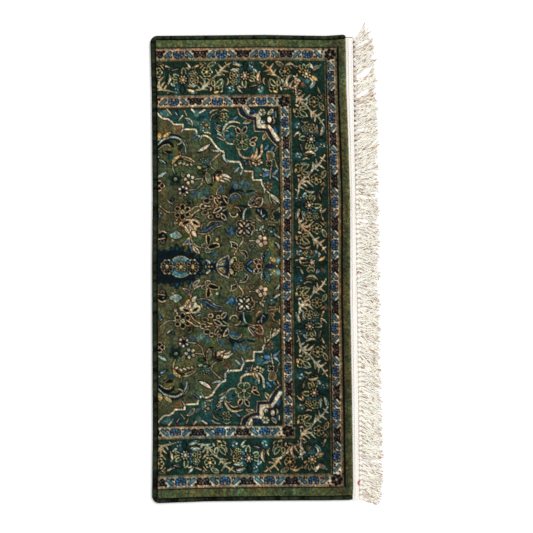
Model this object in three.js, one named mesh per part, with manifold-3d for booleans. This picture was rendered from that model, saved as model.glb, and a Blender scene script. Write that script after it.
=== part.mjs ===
// Mosque carpet: a cut length of thick knotted-pile carpet lying flat, pile upwards.
// Three of its sides are overcast with thick yarn and the fourth carries a cotton heading
// tape with a knotted fringe. Millimetres, +Z up. X runs from the cut edge to the fringed
// end, Y runs along the carpet's width, and the origin is under the middle of the pile.
import * as THREE from "three";
import { mergeVertices } from "three/addons/utils/BufferGeometryUtils.js";
import Module from "manifold-3d";

const wasm = await Module();
wasm.setup();

// Heights above the surface that the carpet lies on
const GAP = 0.3;
const PILE_TOP = 10;
const BASE_TOP = 4;
const SELVAGE = { bottom: 1.6, top: 4.2 };
const WEB_TOP = 2.6;
const TAPE_THICKNESS = 1.8;
const OVERCAST_TOP = 8.5;
const KNOT_TOP = 4.6;
const TASSEL_HEIGHT = { root: 4.0, middle: 3.4, tip: 1.8 };

// Widths
const OVERCAST_WIDTH = { cut: 11, side: 9.5 };
const SELVAGE_INSET = 4;
const CORNER_RADIUS = 13;
const PILE_SHOULDER = { out: 1.6, down: 2.2 };
const OVERCAST_ROUND = { out: 2.6, down: 2.8 };
const WEB_TONGUE = 6;
const KNOT_ROW_WIDTH = 5.4;
const TASSEL_TOP_SHARE = 0.55;

// The tassels stand at an even pitch between the two ends of the knot row
const TASSEL_COUNT = 94;
const KNOT_ROW = { from: -395, to: 394 };
const TASSEL_PITCH = (KNOT_ROW.to - KNOT_ROW.from) / (TASSEL_COUNT - 1);

// How much of the room between its neighbours a tassel fills, square to its sweep
const TASSEL_FULLNESS = { root: 0.7, middle: 0.82, tip: 0.36 };
const TAPE_ENDS = { from: -398.5, to: 397 };

// Pieces that each outline is divided into
const CORNER_STEPS = 4;
const ROUND_STEPS = 2;
const TASSEL_STEPS = 4;
const STATION_CLEARANCE = 6;

// Share of a tassel's length over which its direction is taken
const ROUTE_PROBE = 0.01;

// The four edges wander a little from straight. Each row is one station along its edge.
const CUT_EDGE = [
  { y: -390, x: -169.8 },
  { y: -290, x: -168.7 },
  { y: 0, x: -169.9 },
  { y: 125, x: -168.9 },
  { y: 300, x: -170.5 },
  { y: 390, x: -173.0 },
];
const PILE_END = [
  { y: -400, x: 174.2 },
  { y: -377, x: 175.4 },
  { y: -245, x: 173.7 },
  { y: -141, x: 172.0 },
  { y: -55, x: 170.3 },
  { y: 117, x: 170.3 },
  { y: 237, x: 166.3 },
  { y: 306, x: 163.7 },
  { y: 400, x: 162.0 },
];
const TOP_EDGE = [
  { x: -160, y: 399.4 },
  { x: 25, y: 401.1 },
  { x: 128, y: 399.4 },
  { x: 160, y: 401.4 },
];
const BOTTOM_EDGE = [
  { x: -160, y: -403.5 },
  { x: -78, y: -400.4 },
  { x: 25, y: -399.0 },
  { x: 128, y: -398.5 },
  { x: 175, y: -397.7 },
];

// The fringe: where its knots lie, how far its tips reach and how it is swept along the edge
const FRINGE = [
  { y: -395, knot: 188.9, tip: 215.5, slant: -35 },
  { y: -375, knot: 188.8, tip: 225.0, slant: -29 },
  { y: -330, knot: 188.4, tip: 228.0, slant: -24 },
  { y: -240, knot: 187.6, tip: 227.0, slant: -18 },
  { y: -120, knot: 186.2, tip: 225.5, slant: -14 },
  { y: 0, knot: 184.4, tip: 224.0, slant: -4 },
  { y: 120, knot: 182.6, tip: 222.5, slant: -8 },
  { y: 190, knot: 181.4, tip: 221.5, slant: 10 },
  { y: 260, knot: 180.3, tip: 220.0, slant: 26 },
  { y: 340, knot: 178.9, tip: 217.5, slant: 35 },
  { y: 380, knot: 178.3, tip: 211.0, slant: 42 },
  { y: 394, knot: 178.0, tip: 201.5, slant: 48 },
];

// How far the tassels differ from their neighbours, and by what turn from one to the next
const TASSEL_STRAY = { reach: 1.8, reachTurn: 2.4, bend: 1.1, bendTurn: 1.7 };

// Value of one column of a table, taken straight between the two rows around a station
function along(table, by, column, station) {
  const last = table.length - 1;
  const next = Math.max(1, Math.min(last, table.findIndex((row) => row[by] >= station)));
  const upper = station > table[last][by] ? last : next;
  const [a, b] = [table[upper - 1], table[upper]];
  const share = THREE.MathUtils.clamp((station - a[by]) / (b[by] - a[by]), 0, 1);
  return THREE.MathUtils.lerp(a[column], b[column], share);
}

const cutX = (y) => along(CUT_EDGE, "y", "x", y);
const pileEndX = (y) => along(PILE_END, "y", "x", y);
const topY = (x) => along(TOP_EDGE, "x", "y", x);
const bottomY = (x) => along(BOTTOM_EDGE, "x", "y", x);
const knotX = (y) => along(FRINGE, "y", "knot", y);

// Stations from one value to another, both included, with every table row well between
// them, so that two outlines along one edge break at the same places
function stations(tables, by, from, to) {
  const low = Math.min(from, to) + STATION_CLEARANCE;
  const high = Math.max(from, to) - STATION_CLEARANCE;
  const inside = tables.flat().map((row) => row[by])
    .filter((value) => value > low && value < high);
  const rising = [...new Set([from, ...inside, to])].sort((a, b) => a - b);
  return from < to ? rising : rising.reverse();
}

// Quarter circle of one corner on the cut edge; side is +1 at the top and -1 at the bottom
function cornerArc(side, inset) {
  const edgeY = side > 0 ? topY : bottomY;
  const radius = CORNER_RADIUS - Math.min(inset.cut, CORNER_RADIUS - 2);
  const nearY = edgeY(cutX(0)) - side * (inset.side + radius);
  const centreX = cutX(nearY) + inset.cut + radius;
  const centreY = edgeY(centreX) - side * (inset.side + radius);
  return Array.from({ length: CORNER_STEPS + 1 }, (_, step) => {
    const turn = (Math.PI / 2) * (step / CORNER_STEPS);
    const x = centreX - radius * Math.sin(turn);
    return new THREE.Vector2(x, centreY + side * radius * Math.cos(turn));
  });
}

// Open line round three sides, from the fringed end along the top, down the cut edge with
// its two round corners, and back along the bottom to the fringed end
function threeSides(inset) {
  const top = cornerArc(1, inset);
  const bottom = cornerArc(-1, inset).reverse();
  const topEndX = pileEndX(topY(PILE_END.at(-1).x) - inset.side) - inset.end;
  const bottomEndX = pileEndX(bottomY(PILE_END[0].x) + inset.side) - inset.end;
  const topLine = stations([TOP_EDGE], "x", topEndX, top[0].x).slice(0, -1);
  const bottomLine = stations([BOTTOM_EDGE], "x", bottom.at(-1).x, bottomEndX).slice(1);
  const cutLine = stations([CUT_EDGE], "y", top.at(-1).y, bottom[0].y).slice(1, -1);
  return [
    ...topLine.map((x) => new THREE.Vector2(x, topY(x) - inset.side)),
    ...top,
    ...cutLine.map((y) => new THREE.Vector2(cutX(y) + inset.cut, y)),
    ...bottom,
    ...bottomLine.map((x) => new THREE.Vector2(x, bottomY(x) + inset.side)),
  ];
}

// Closed outline of the carpet, inset from its sides and ending at the pile's end
function carpetOutline(inset) {
  const open = threeSides(inset);
  const endLine = stations([PILE_END], "y", open.at(-1).y, open[0].y).slice(1, -1);
  return [...open, ...endLine.map((y) => new THREE.Vector2(pileEndX(y) - inset.end, y))];
}

// Strip across the width between two lines that are given as X for each Y
function stripOutline(fromY, toY, nearX, farX) {
  const rows = stations([PILE_END, FRINGE], "y", fromY, toY);
  const near = rows.map((y) => new THREE.Vector2(nearX(y), y));
  const far = rows.map((y) => new THREE.Vector2(farX(y), y));
  return [...far, ...near.reverse()];
}

// Solid between two heights under a closed outline, with its edges rounded where asked
function slab(points, bottom, top, round = null) {
  const depth = top - bottom - (round ? 2 * round.down : 0);
  const geometry = new THREE.ExtrudeGeometry(new THREE.Shape(points), {
    depth,
    bevelEnabled: Boolean(round),
    bevelSize: round ? round.out : 0,
    bevelOffset: round ? -round.out : 0,
    bevelThickness: round ? round.down : 0,
    bevelSegments: ROUND_STEPS,
  });
  geometry.translate(0, 0, bottom + (round ? round.down : 0));
  return geometry;
}

// Closed three.js geometry as a solid that can be joined and cut
function toSolid(geometry) {
  const bare = geometry.clone();
  bare.deleteAttribute("normal");
  bare.deleteAttribute("uv");
  const merged = mergeVertices(bare, 1e-4);
  return new wasm.Manifold(new wasm.Mesh({
    numProp: 3,
    vertProperties: new Float32Array(merged.attributes.position.array),
    triVerts: new Uint32Array(merged.index.array),
  }));
}

// Solid as three.js geometry with flat facets
function toGeometry(solid) {
  const mesh = solid.getMesh();
  const geometry = new THREE.BufferGeometry();
  geometry.setAttribute("position", new THREE.BufferAttribute(mesh.vertProperties, 3));
  geometry.setIndex(new THREE.BufferAttribute(mesh.triVerts, 1));
  geometry.computeVertexNormals();
  return geometry;
}

function join(solids) {
  return solids.reduce((whole, solid) => whole.add(solid));
}

const pileInset = {
  cut: OVERCAST_WIDTH.cut + GAP,
  side: OVERCAST_WIDTH.side + GAP,
  end: 0,
};
const selvageInset = { cut: SELVAGE_INSET, side: SELVAGE_INSET, end: 0 };
const webEndX = (y) => knotX(y) - KNOT_ROW_WIDTH / 2 - GAP;

// Pile and foundation in one cloth: the thick pile, the bare selvage inside the overcasting
// on three sides, and the flat web that runs out under the heading tape
function carpet() {
  const pileOutline = carpetOutline(pileInset);
  const sides = {
    from: bottomY(pileEndX(PILE_END[0].y)) + pileInset.side,
    to: topY(pileEndX(PILE_END.at(-1).y)) - pileInset.side,
  };
  const web = stripOutline(TAPE_ENDS.from, TAPE_ENDS.to, (y) => pileEndX(y) + GAP, webEndX);
  const tongue = stripOutline(sides.from, sides.to, (y) => pileEndX(y) - WEB_TONGUE, webEndX);
  return join([
    toSolid(slab(pileOutline, BASE_TOP / 2, PILE_TOP, PILE_SHOULDER)),
    toSolid(slab(pileOutline, 0, BASE_TOP)),
    toSolid(slab(carpetOutline(selvageInset), SELVAGE.bottom, SELVAGE.top)),
    toSolid(slab(tongue, 0, WEB_TOP)),
    toSolid(slab(web, 0, WEB_TOP)),
  ]);
}

// Thick yarn wound over the edge of three sides, hollowed where the selvage lies in it
function overcasting() {
  const outer = threeSides({ cut: 0, side: 0, end: 0 });
  const inner = threeSides({ cut: OVERCAST_WIDTH.cut, side: OVERCAST_WIDTH.side, end: 0 });
  const wound = slab([...outer, ...inner.reverse()], 0, OVERCAST_TOP, OVERCAST_ROUND);
  const slotInset = {
    cut: SELVAGE_INSET - GAP,
    side: SELVAGE_INSET - GAP,
    end: -GAP,
  };
  const slot = slab(carpetOutline(slotInset), SELVAGE.bottom - GAP, SELVAGE.top + GAP);
  return toSolid(wound).subtract(toSolid(slot));
}

// Flat cotton tape sewn on the web between the pile and the knots
function headingTape() {
  const bottom = WEB_TOP + GAP;
  const outline = stripOutline(TAPE_ENDS.from, TAPE_ENDS.to, (y) => pileEndX(y) + GAP, webEndX);
  return toSolid(slab(outline, bottom, bottom + TAPE_THICKNESS));
}

// Size of a tassel at a share of its length: root, middle and tip values joined by lines
function tasselSize(size, share) {
  const [a, b] = share < 0.5 ? [size.root, size.middle] : [size.middle, size.tip];
  return THREE.MathUtils.lerp(a, b, share < 0.5 ? share * 2 : share * 2 - 1);
}

// One tassel: a low flat-bottomed bar carried along its swept line and drawn in to its tip
function tassel(index) {
  const rootY = KNOT_ROW.to - index * TASSEL_PITCH;
  const rootX = knotX(rootY);
  const shortfall = TASSEL_STRAY.reach * (1 - Math.sin(index * TASSEL_STRAY.reachTurn));
  const reach = along(FRINGE, "y", "tip", rootY) - rootX - shortfall;
  const slant = THREE.MathUtils.degToRad(along(FRINGE, "y", "slant", rootY));
  const bend = TASSEL_STRAY.bend * Math.sin(index * TASSEL_STRAY.bendTurn);
  const room = TASSEL_PITCH * Math.cos(slant);
  const route = (share) => new THREE.Vector2(
    rootX + reach * share,
    rootY + Math.tan(slant) * reach * share + bend * Math.sin(Math.PI * share),
  );
  const section = [[-0.5, 0], [0.5, 0], [TASSEL_TOP_SHARE / 2, 1], [-TASSEL_TOP_SHARE / 2, 1]];
  const shape = new THREE.Shape(section.map(([x, y]) => new THREE.Vector2(x, y)));
  const bar = new THREE.ExtrudeGeometry(shape, {
    depth: 1,
    steps: TASSEL_STEPS,
    bevelEnabled: false,
  });
  const position = bar.attributes.position;
  for (let i = 0; i < position.count; i += 1) {
    const share = position.getZ(i);
    const centre = route(share);
    const ahead = route(share + ROUTE_PROBE).sub(route(share - ROUTE_PROBE)).normalize();
    const across = position.getX(i) * room * tasselSize(TASSEL_FULLNESS, share);
    const height = position.getY(i) * tasselSize(TASSEL_HEIGHT, share);
    position.setXYZ(i, centre.x - ahead.y * across, centre.y + ahead.x * across, height);
  }
  return toSolid(bar);
}

// Fringe: one comb, its back the row of knots and its teeth the swept tassels
function fringe() {
  const half = KNOT_ROW_WIDTH / 2;
  const row = stripOutline(
    KNOT_ROW.from - half,
    KNOT_ROW.to + half,
    (y) => knotX(y) - half,
    (y) => knotX(y) + half,
  );
  const tassels = Array.from({ length: TASSEL_COUNT }, (_, index) => tassel(index));
  return join([toSolid(slab(row, 0, KNOT_TOP)), ...tassels]);
}

const MATERIALS = {
  pile: new THREE.MeshStandardMaterial({ color: 0x4f5535, roughness: 0.95, metalness: 0 }),
  overcast: new THREE.MeshStandardMaterial({ color: 0x23301f, roughness: 0.9, metalness: 0 }),
  tape: new THREE.MeshStandardMaterial({ color: 0xf1ece2, roughness: 0.9, metalness: 0 }),
  cotton: new THREE.MeshStandardMaterial({ color: 0xe9dfcb, roughness: 0.92, metalness: 0 }),
};

const part = new THREE.Group();

function addPiece(name, solid, material) {
  const mesh = new THREE.Mesh(toGeometry(solid), material);
  mesh.name = name;
  part.add(mesh);
}

addPiece("carpet", carpet(), MATERIALS.pile);
addPiece("overcasting", overcasting(), MATERIALS.overcast);
addPiece("heading_tape", headingTape(), MATERIALS.tape);
addPiece("fringe", fringe(), MATERIALS.cotton);

export default part;
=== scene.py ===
"""Mosque carpet lying flat with its pile upwards.

Knotted wool pile with a floral design, thick yarn wound over three of its edges, and on the
fourth a cotton heading tape with a row of knots and a loose fringe. Sizes are in millimetres
until a mesh is made, with X towards the fringe, Y along the carpet's width and Z up.
"""

import bpy
import numpy as np
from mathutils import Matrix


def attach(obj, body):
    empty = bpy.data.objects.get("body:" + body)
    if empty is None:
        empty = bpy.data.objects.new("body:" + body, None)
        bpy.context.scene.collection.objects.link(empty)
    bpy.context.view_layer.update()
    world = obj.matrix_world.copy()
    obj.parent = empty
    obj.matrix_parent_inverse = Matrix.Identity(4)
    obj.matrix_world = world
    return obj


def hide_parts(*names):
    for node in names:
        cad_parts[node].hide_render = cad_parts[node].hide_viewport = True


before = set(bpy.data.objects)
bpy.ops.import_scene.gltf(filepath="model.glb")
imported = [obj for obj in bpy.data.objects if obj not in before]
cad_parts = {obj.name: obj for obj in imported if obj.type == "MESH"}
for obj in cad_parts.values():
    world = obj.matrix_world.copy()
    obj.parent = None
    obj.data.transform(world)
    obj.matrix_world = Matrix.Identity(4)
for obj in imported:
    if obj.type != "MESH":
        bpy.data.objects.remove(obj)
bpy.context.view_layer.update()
MM = 0.001

# ---------------------------------------------------------------- camera, lights, floor
VIEW_WIDTH = 916.8
VIEW_CENTRE = (26.66, 3.10)
CAMERA_HEIGHT = 4000.0
PILE_TOP = 10.0
DAYLIGHT = 0.68
LAMP = {"place": (1.3, 1.0, 2.8), "target": (0.03, 0, 0), "strength": 1.5, "softness": 24}
FLOOR_REACH = 6.0


def add_camera():
    """Long lens straight above the carpet, with the carpet's width up the picture."""
    camera = bpy.data.objects.new("camera", bpy.data.cameras.new("camera"))
    bpy.context.scene.collection.objects.link(camera)
    camera.location = (VIEW_CENTRE[0] * MM, VIEW_CENTRE[1] * MM, CAMERA_HEIGHT * MM)
    camera.data.lens = camera.data.sensor_width * (CAMERA_HEIGHT - PILE_TOP) / VIEW_WIDTH
    camera.data.clip_end = 50
    bpy.context.scene.camera = camera


def add_lamp(name, place, target, strength, softness):
    """Even soft lamp that shines from one point towards another."""
    lamp = bpy.data.objects.new(name, bpy.data.lights.new(name, "SUN"))
    bpy.context.scene.collection.objects.link(lamp)
    lamp.location = place
    aim = np.subtract(target, place)
    flat = np.hypot(aim[0], aim[1])
    lamp.rotation_euler = (np.arctan2(flat, -aim[2]), 0, np.arctan2(aim[1], aim[0]) - np.pi / 2)
    lamp.data.energy = strength
    lamp.data.angle = np.radians(softness)


def add_surroundings():
    """Even white daylight, one soft lamp from the upper right, and a white floor."""
    world = bpy.data.worlds.new("daylight")
    world.use_nodes = True
    backdrop = world.node_tree.nodes["Background"]
    backdrop.inputs["Color"].default_value = (1, 1, 1, 1)
    backdrop.inputs["Strength"].default_value = DAYLIGHT
    bpy.context.scene.world = world
    add_lamp("key_lamp", **LAMP)
    reach = FLOOR_REACH
    mesh = bpy.data.meshes.new("floor")
    mesh.from_pydata([(-reach, -reach, 0), (reach, -reach, 0), (reach, reach, 0),
                      (-reach, reach, 0)], [], [(0, 1, 2, 3)])
    floor = bpy.data.objects.new("floor", mesh)
    bpy.context.scene.collection.objects.link(floor)
    material, nodes, links, shader = new_material("white_floor", roughness=1.0)
    shader.inputs["Base Color"].default_value = (0.96, 0.96, 0.96, 1)
    shader.inputs["Specular IOR Level"].default_value = 0
    shader.inputs["Emission Color"].default_value = (1, 1, 1, 1)
    seen = nodes.new("ShaderNodeLightPath")
    glow = calculate(material.node_tree, "MULTIPLY", seen.outputs["Is Camera Ray"], 0.12)
    links.new(glow, shader.inputs["Emission Strength"])
    mesh.materials.append(material)


# ---------------------------------------------------------------- meshes from arrays
# Where the top, the underside and the rim of a sheet start in its bake map, and how wide
SHEET_STRIPS = ((0, 0.48), (0.5, 0.48), (0.985, 0.015))


def outward(points, face_sets):
    """Whether the faces point outwards: the volume they enclose is then not negative."""
    volume = 0.0
    for faces in face_sets:
        for k in range(1, faces.shape[1] - 1):
            a, b, c = (points[faces[:, n]] for n in (0, k, k + 1))
            volume += np.einsum("ij,ij->", a, np.cross(b, c))
    return volume >= 0


def make_piece(name, body, material, nodes=()):
    """Smooth mesh object of a body, which is its points in millimetres, its sets of faces,
    and the places of their corners in the bake map."""
    points, face_sets, spot_sets = body
    if not outward(points, face_sets):
        face_sets = [faces[:, ::-1] for faces in face_sets]
        spot_sets = [spots[:, ::-1] for spots in spot_sets]
    sizes = np.concatenate([np.full(len(faces), faces.shape[1]) for faces in face_sets])
    corners = np.concatenate([faces.ravel() for faces in face_sets])
    mesh = bpy.data.meshes.new(name)
    mesh.vertices.add(len(points))
    mesh.vertices.foreach_set("co", (points * MM).astype(np.float32).ravel())
    mesh.loops.add(len(corners))
    mesh.loops.foreach_set("vertex_index", corners.astype(np.int32))
    mesh.polygons.add(len(sizes))
    mesh.polygons.foreach_set("loop_start", (np.cumsum(sizes) - sizes).astype(np.int32))
    mesh.polygons.foreach_set("use_smooth", np.full(len(sizes), True))
    mesh.update(calc_edges=True)
    layer = mesh.uv_layers.new(name="OFBake")
    spots = np.concatenate([spots.reshape(-1, 2) for spots in spot_sets])
    layer.data.foreach_set("uv", spots.astype(np.float32).ravel())
    mesh.materials.append(material)
    piece = bpy.data.objects.new(name, mesh)
    bpy.context.scene.collection.objects.link(piece)
    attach(piece, "root")
    if nodes:
        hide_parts(*nodes)
    return piece


def add_shades(piece, name, shades):
    """Colours of a piece's points, as an attribute that its material reads."""
    layer = piece.data.color_attributes.new(name, "FLOAT_COLOR", "POINT")
    colours = np.ones((len(shades), 4), np.float32)
    colours[:, :3] = shades
    layer.data.foreach_set("color", colours.ravel())


def linear(colour):
    """Linear light of a colour that is written as it looks on a screen."""
    colour = np.asarray(colour, float)
    return np.where(colour <= 0.04045, colour / 12.92, ((colour + 0.055) / 1.055) ** 2.4)


def grid_faces(rows, cols, round_about=False):
    """Four-cornered faces of a grid, and their places in the unit square."""
    last = cols if round_about else cols - 1
    i, j = np.meshgrid(np.arange(rows - 1), np.arange(last), indexing="ij")
    steps = ((0, 0), (0, 1), (1, 1), (1, 0))
    faces = np.stack([(i + a) * cols + (j + b) % cols for a, b in steps], -1)
    spots = np.stack([np.stack([(i + a) / (rows - 1), (j + b) / last], -1)
                      for a, b in steps], -2)
    return faces.reshape(-1, 4), spots.reshape(-1, 4, 2)


def closed_sheet(top, bottom):
    """Two grids of points of one shape, joined round their rim into a closed thin body."""
    rows, cols = top.shape[:2]
    points = np.concatenate([top.reshape(-1, 3), bottom.reshape(-1, 3)])
    faces, spots = grid_faces(rows, cols)
    ring = np.concatenate([
        np.arange(cols), np.arange(1, rows) * cols + cols - 1,
        (rows - 1) * cols + np.arange(cols - 2, -1, -1), np.arange(rows - 2, 0, -1) * cols])
    ahead = np.roll(ring, -1)
    under = rows * cols
    rim = np.stack([ring + under, ahead + under, ahead, ring], -1)
    along = np.arange(len(ring)) / len(ring)
    ahead_along = along + 1 / len(ring)
    rim_spots = np.stack([np.stack([along, 0 * along], -1),
                          np.stack([ahead_along, 0 * along], -1),
                          np.stack([ahead_along, 0 * along + 1], -1),
                          np.stack([along, 0 * along + 1], -1)], -2)
    face_sets = [faces, faces[:, ::-1] + under, rim]
    spot_sets = [np.stack([start + width * part[..., 0], part[..., 1]], -1)
                 for (start, width), part in zip(SHEET_STRIPS, (spots, spots[:, ::-1],
                                                                rim_spots[..., ::-1]))]
    return points, face_sets, spot_sets


def closed_tubes(rings):
    """Tubes given as rings of points, (tubes, stations, points round, 3), with closed ends."""
    count, stations, around = rings.shape[:3]
    faces, spots = grid_faces(stations, around, round_about=True)
    first = np.arange(count)[:, None, None] * stations * around
    shift = np.arange(count)[:, None, None] / count
    sides = (faces + first).reshape(-1, 4)
    side_spots = np.stack([
        np.broadcast_to(0.02 + 0.96 * spots[..., 0], (count,) + spots.shape[:2]),
        spots[..., 1] / count + shift], -1).reshape(-1, 4, 2)
    start = first[:, 0] + np.arange(around)[::-1]
    end = first[:, 0] + (stations - 1) * around + np.arange(around)
    caps = np.concatenate([start, end])
    turn = np.arange(around) * 2 * np.pi / around
    disc = np.stack([0.5 + 0.4 * np.cos(turn), 0.5 + 0.4 * np.sin(turn)], -1)
    low = disc * (0.015, 1 / count) + np.stack([0 * shift[:, 0], shift[:, 0]], -1)
    high = low[:, ::-1] + (0.985, 0)
    cap_spots = np.concatenate([low, high])
    return rings.reshape(-1, 3), [sides, caps], [side_spots, cap_spots]


# ---------------------------------------------------------------- materials
def new_material(name, roughness):
    """Material with its nodes, its links and its shader."""
    material = bpy.data.materials.new(name)
    material.use_nodes = True
    nodes, links = material.node_tree.nodes, material.node_tree.links
    shader = nodes["Principled BSDF"]
    shader.inputs["Roughness"].default_value = roughness
    return material, nodes, links, shader


def new_group(name, inputs, outputs):
    """Shader node group with named inputs and outputs; inputs give kind and plain value."""
    group = bpy.data.node_groups.new(name, "ShaderNodeTree")
    for socket, kind, value in inputs:
        made = group.interface.new_socket(socket, in_out="INPUT", socket_type=kind)
        made.default_value = value
    for socket, kind in outputs:
        group.interface.new_socket(socket, in_out="OUTPUT", socket_type=kind)
    return group, group.nodes.new("NodeGroupInput"), group.nodes.new("NodeGroupOutput")


def add_node(tree, kind, operation=None, **values):
    """Node of a tree, with values or links for its inputs, named or by place as _0, _1."""
    node = tree.nodes.new(kind)
    if operation:
        node.operation = operation
    for key, value in values.items():
        where = int(key[1:]) if key[0] == "_" and key[1:].isdigit() else key.replace("_", " ")
        if isinstance(value, bpy.types.NodeSocket):
            tree.links.new(value, node.inputs[where])
        else:
            node.inputs[where].default_value = value
    return node


def calculate(tree, operation, first, second=0.0, clamp=False):
    """Result of one sum on two values or links."""
    node = add_node(tree, "ShaderNodeMath", operation, _0=first, _1=second)
    node.use_clamp = clamp
    return node.outputs[0]


def noise(tree, place, scale, detail=2.0, roughness=0.5):
    """Soft noise between 0 and 1."""
    return add_node(tree, "ShaderNodeTexNoise", Vector=place, Scale=scale, Detail=detail,
                    Roughness=roughness).outputs["Fac"]


def scaled(tree, place, factors):
    """The place with each of its three axes stretched by its own factor."""
    return add_node(tree, "ShaderNodeVectorMath", "MULTIPLY", _0=place, _1=factors).outputs[0]


def brighten(tree, colour, amount):
    """Colour times a brightness, which is 1 where nothing changes."""
    return add_node(tree, "ShaderNodeVectorMath", "SCALE", _0=colour, Scale=amount).outputs[0]


FLOAT, COLOUR = "NodeSocketFloat", "NodeSocketColor"


def wool_nap_group():
    """Cut wool: each tuft's own shade, fine fibres, painted shade in the hollows between tufts,
    and the soft relief of tufts and fibres.
    """
    tree, start, end = new_group(
        "wool_nap",
        [("Dye", COLOUR, (0.1, 0.1, 0.1, 1)), ("Tuft Size", FLOAT, 0.0016),
         ("Tuft Shade", FLOAT, 0.3), ("Fibre Shade", FLOAT, 0.25)],
        [("Color", COLOUR), ("Height", FLOAT), ("Roughness", FLOAT)])
    place = add_node(tree, "ShaderNodeTexCoord").outputs["Object"]
    density = calculate(tree, "DIVIDE", 1.0, start.outputs["Tuft Size"])
    wander = add_node(tree, "ShaderNodeTexNoise", Vector=place, Scale=420.0, Detail=1.0)
    shifted = add_node(tree, "ShaderNodeVectorMath", "MULTIPLY_ADD",
                       _0=wander.outputs["Color"], _1=(0.0009, 0.0009, 0), _2=place).outputs[0]
    flat = scaled(tree, shifted, (1.0, 1.0, 0.2))
    tufts = add_node(tree, "ShaderNodeTexVoronoi", Vector=flat, Scale=density, Randomness=0.7)
    tuft_shade = add_node(tree, "ShaderNodeSeparateColor", Color=tufts.outputs["Color"])
    fibres = noise(tree, place, 1900.0, 3.0, 0.65)
    clumps = noise(tree, flat, 260.0, 2.0)
    a = calculate(tree, "SUBTRACT", tuft_shade.outputs[0], 0.5)
    a = calculate(tree, "MULTIPLY", a, start.outputs["Tuft Shade"])
    b = calculate(tree, "SUBTRACT", fibres, 0.5)
    b = calculate(tree, "MULTIPLY", b, start.outputs["Fibre Shade"])
    c = calculate(tree, "SUBTRACT", clumps, 0.5)
    c = calculate(tree, "MULTIPLY", c, start.outputs["Tuft Shade"])
    # Painted shade: each tuft darker towards its edge, in the hollows between tufts
    hollow_shade = calculate(tree, "SUBTRACT", 0.29, tufts.outputs["Distance"])
    hollow_shade = calculate(tree, "MULTIPLY", hollow_shade, start.outputs["Tuft Shade"])
    hollow_shade = calculate(tree, "MULTIPLY", hollow_shade, 0.7)
    total = calculate(tree, "ADD", calculate(tree, "ADD", a, b), calculate(tree, "ADD", c, hollow_shade))
    amount = calculate(tree, "ADD", total, 1.0)
    tree.links.new(brighten(tree, start.outputs["Dye"], amount), end.inputs["Color"])
    relief = calculate(tree, "MULTIPLY", tufts.outputs["Distance"], -0.7)
    relief = calculate(tree, "ADD", relief, calculate(tree, "MULTIPLY", fibres, 0.5))
    relief = calculate(tree, "ADD", relief, calculate(tree, "MULTIPLY", clumps, 0.6))
    tree.links.new(relief, end.inputs["Height"])
    rough = calculate(tree, "ADD", calculate(tree, "MULTIPLY", fibres, 0.14), 0.82)
    tree.links.new(rough, end.inputs["Roughness"])
    return tree


def plain_weave_group():
    """Plain weave on Object coordinates: over and under threads, painted shade on the threads
    that pass under, slubs and soiling.
    """
    tree, start, end = new_group(
        "plain_weave",
        [("Dye", COLOUR, (0.5, 0.5, 0.5, 1)), ("Soil", COLOUR, (0.4, 0.3, 0.2, 1)),
         ("Warp Pitch", FLOAT, 0.0012), ("Weft Pitch", FLOAT, 0.0012),
         ("Soiling", FLOAT, 0.2), ("Depth", FLOAT, 0.25)],
        [("Color", COLOUR), ("Height", FLOAT), ("Roughness", FLOAT)])
    place = add_node(tree, "ShaderNodeTexCoord").outputs["Object"]
    wander = add_node(tree, "ShaderNodeTexNoise", Vector=place, Scale=90.0, Detail=2.0)
    shifted = add_node(tree, "ShaderNodeVectorMath", "MULTIPLY_ADD", _0=wander.outputs["Color"],
                       _1=(0.0012, 0.0012, 0), _2=place).outputs[0]
    split = add_node(tree, "ShaderNodeSeparateXYZ", Vector=shifted)
    waves = []
    for axis, pitch in ((1, "Warp Pitch"), (0, "Weft Pitch")):
        turns = calculate(tree, "DIVIDE", split.outputs[axis], start.outputs[pitch])
        waves.append(calculate(tree, "SINE", calculate(tree, "MULTIPLY", turns, np.pi)))
    over = calculate(tree, "MULTIPLY", waves[0], waves[1])
    thread = calculate(tree, "ADD", calculate(tree, "MULTIPLY", over, 0.5), 0.5)
    fibres = noise(tree, place, 1500.0, 3.0, 0.6)
    patches = noise(tree, place, 26.0, 4.0, 0.6)
    soil = calculate(tree, "MULTIPLY", calculate(tree, "SUBTRACT", patches, 0.42), 3.0, True)
    soil = calculate(tree, "MULTIPLY", soil, start.outputs["Soiling"])
    mixed = add_node(tree, "ShaderNodeMix")
    mixed.data_type = "RGBA"
    tree.links.new(soil, mixed.inputs[0])
    tree.links.new(start.outputs["Dye"], mixed.inputs[6])
    tree.links.new(start.outputs["Soil"], mixed.inputs[7])
    # Painted shade: threads darker where they pass under
    shade = calculate(tree, "MULTIPLY", calculate(tree, "SUBTRACT", thread, 0.8),
                      start.outputs["Depth"])
    fuzz = calculate(tree, "MULTIPLY", calculate(tree, "SUBTRACT", fibres, 0.5), 0.16)
    amount = calculate(tree, "ADD", calculate(tree, "ADD", shade, fuzz), 1.0)
    tree.links.new(brighten(tree, mixed.outputs[2], amount), end.inputs["Color"])
    relief = calculate(tree, "ADD", thread, calculate(tree, "MULTIPLY", fibres, 0.4))
    tree.links.new(relief, end.inputs["Height"])
    rough = calculate(tree, "ADD", calculate(tree, "MULTIPLY", fibres, 0.16), 0.8)
    tree.links.new(rough, end.inputs["Roughness"])
    return tree


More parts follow.
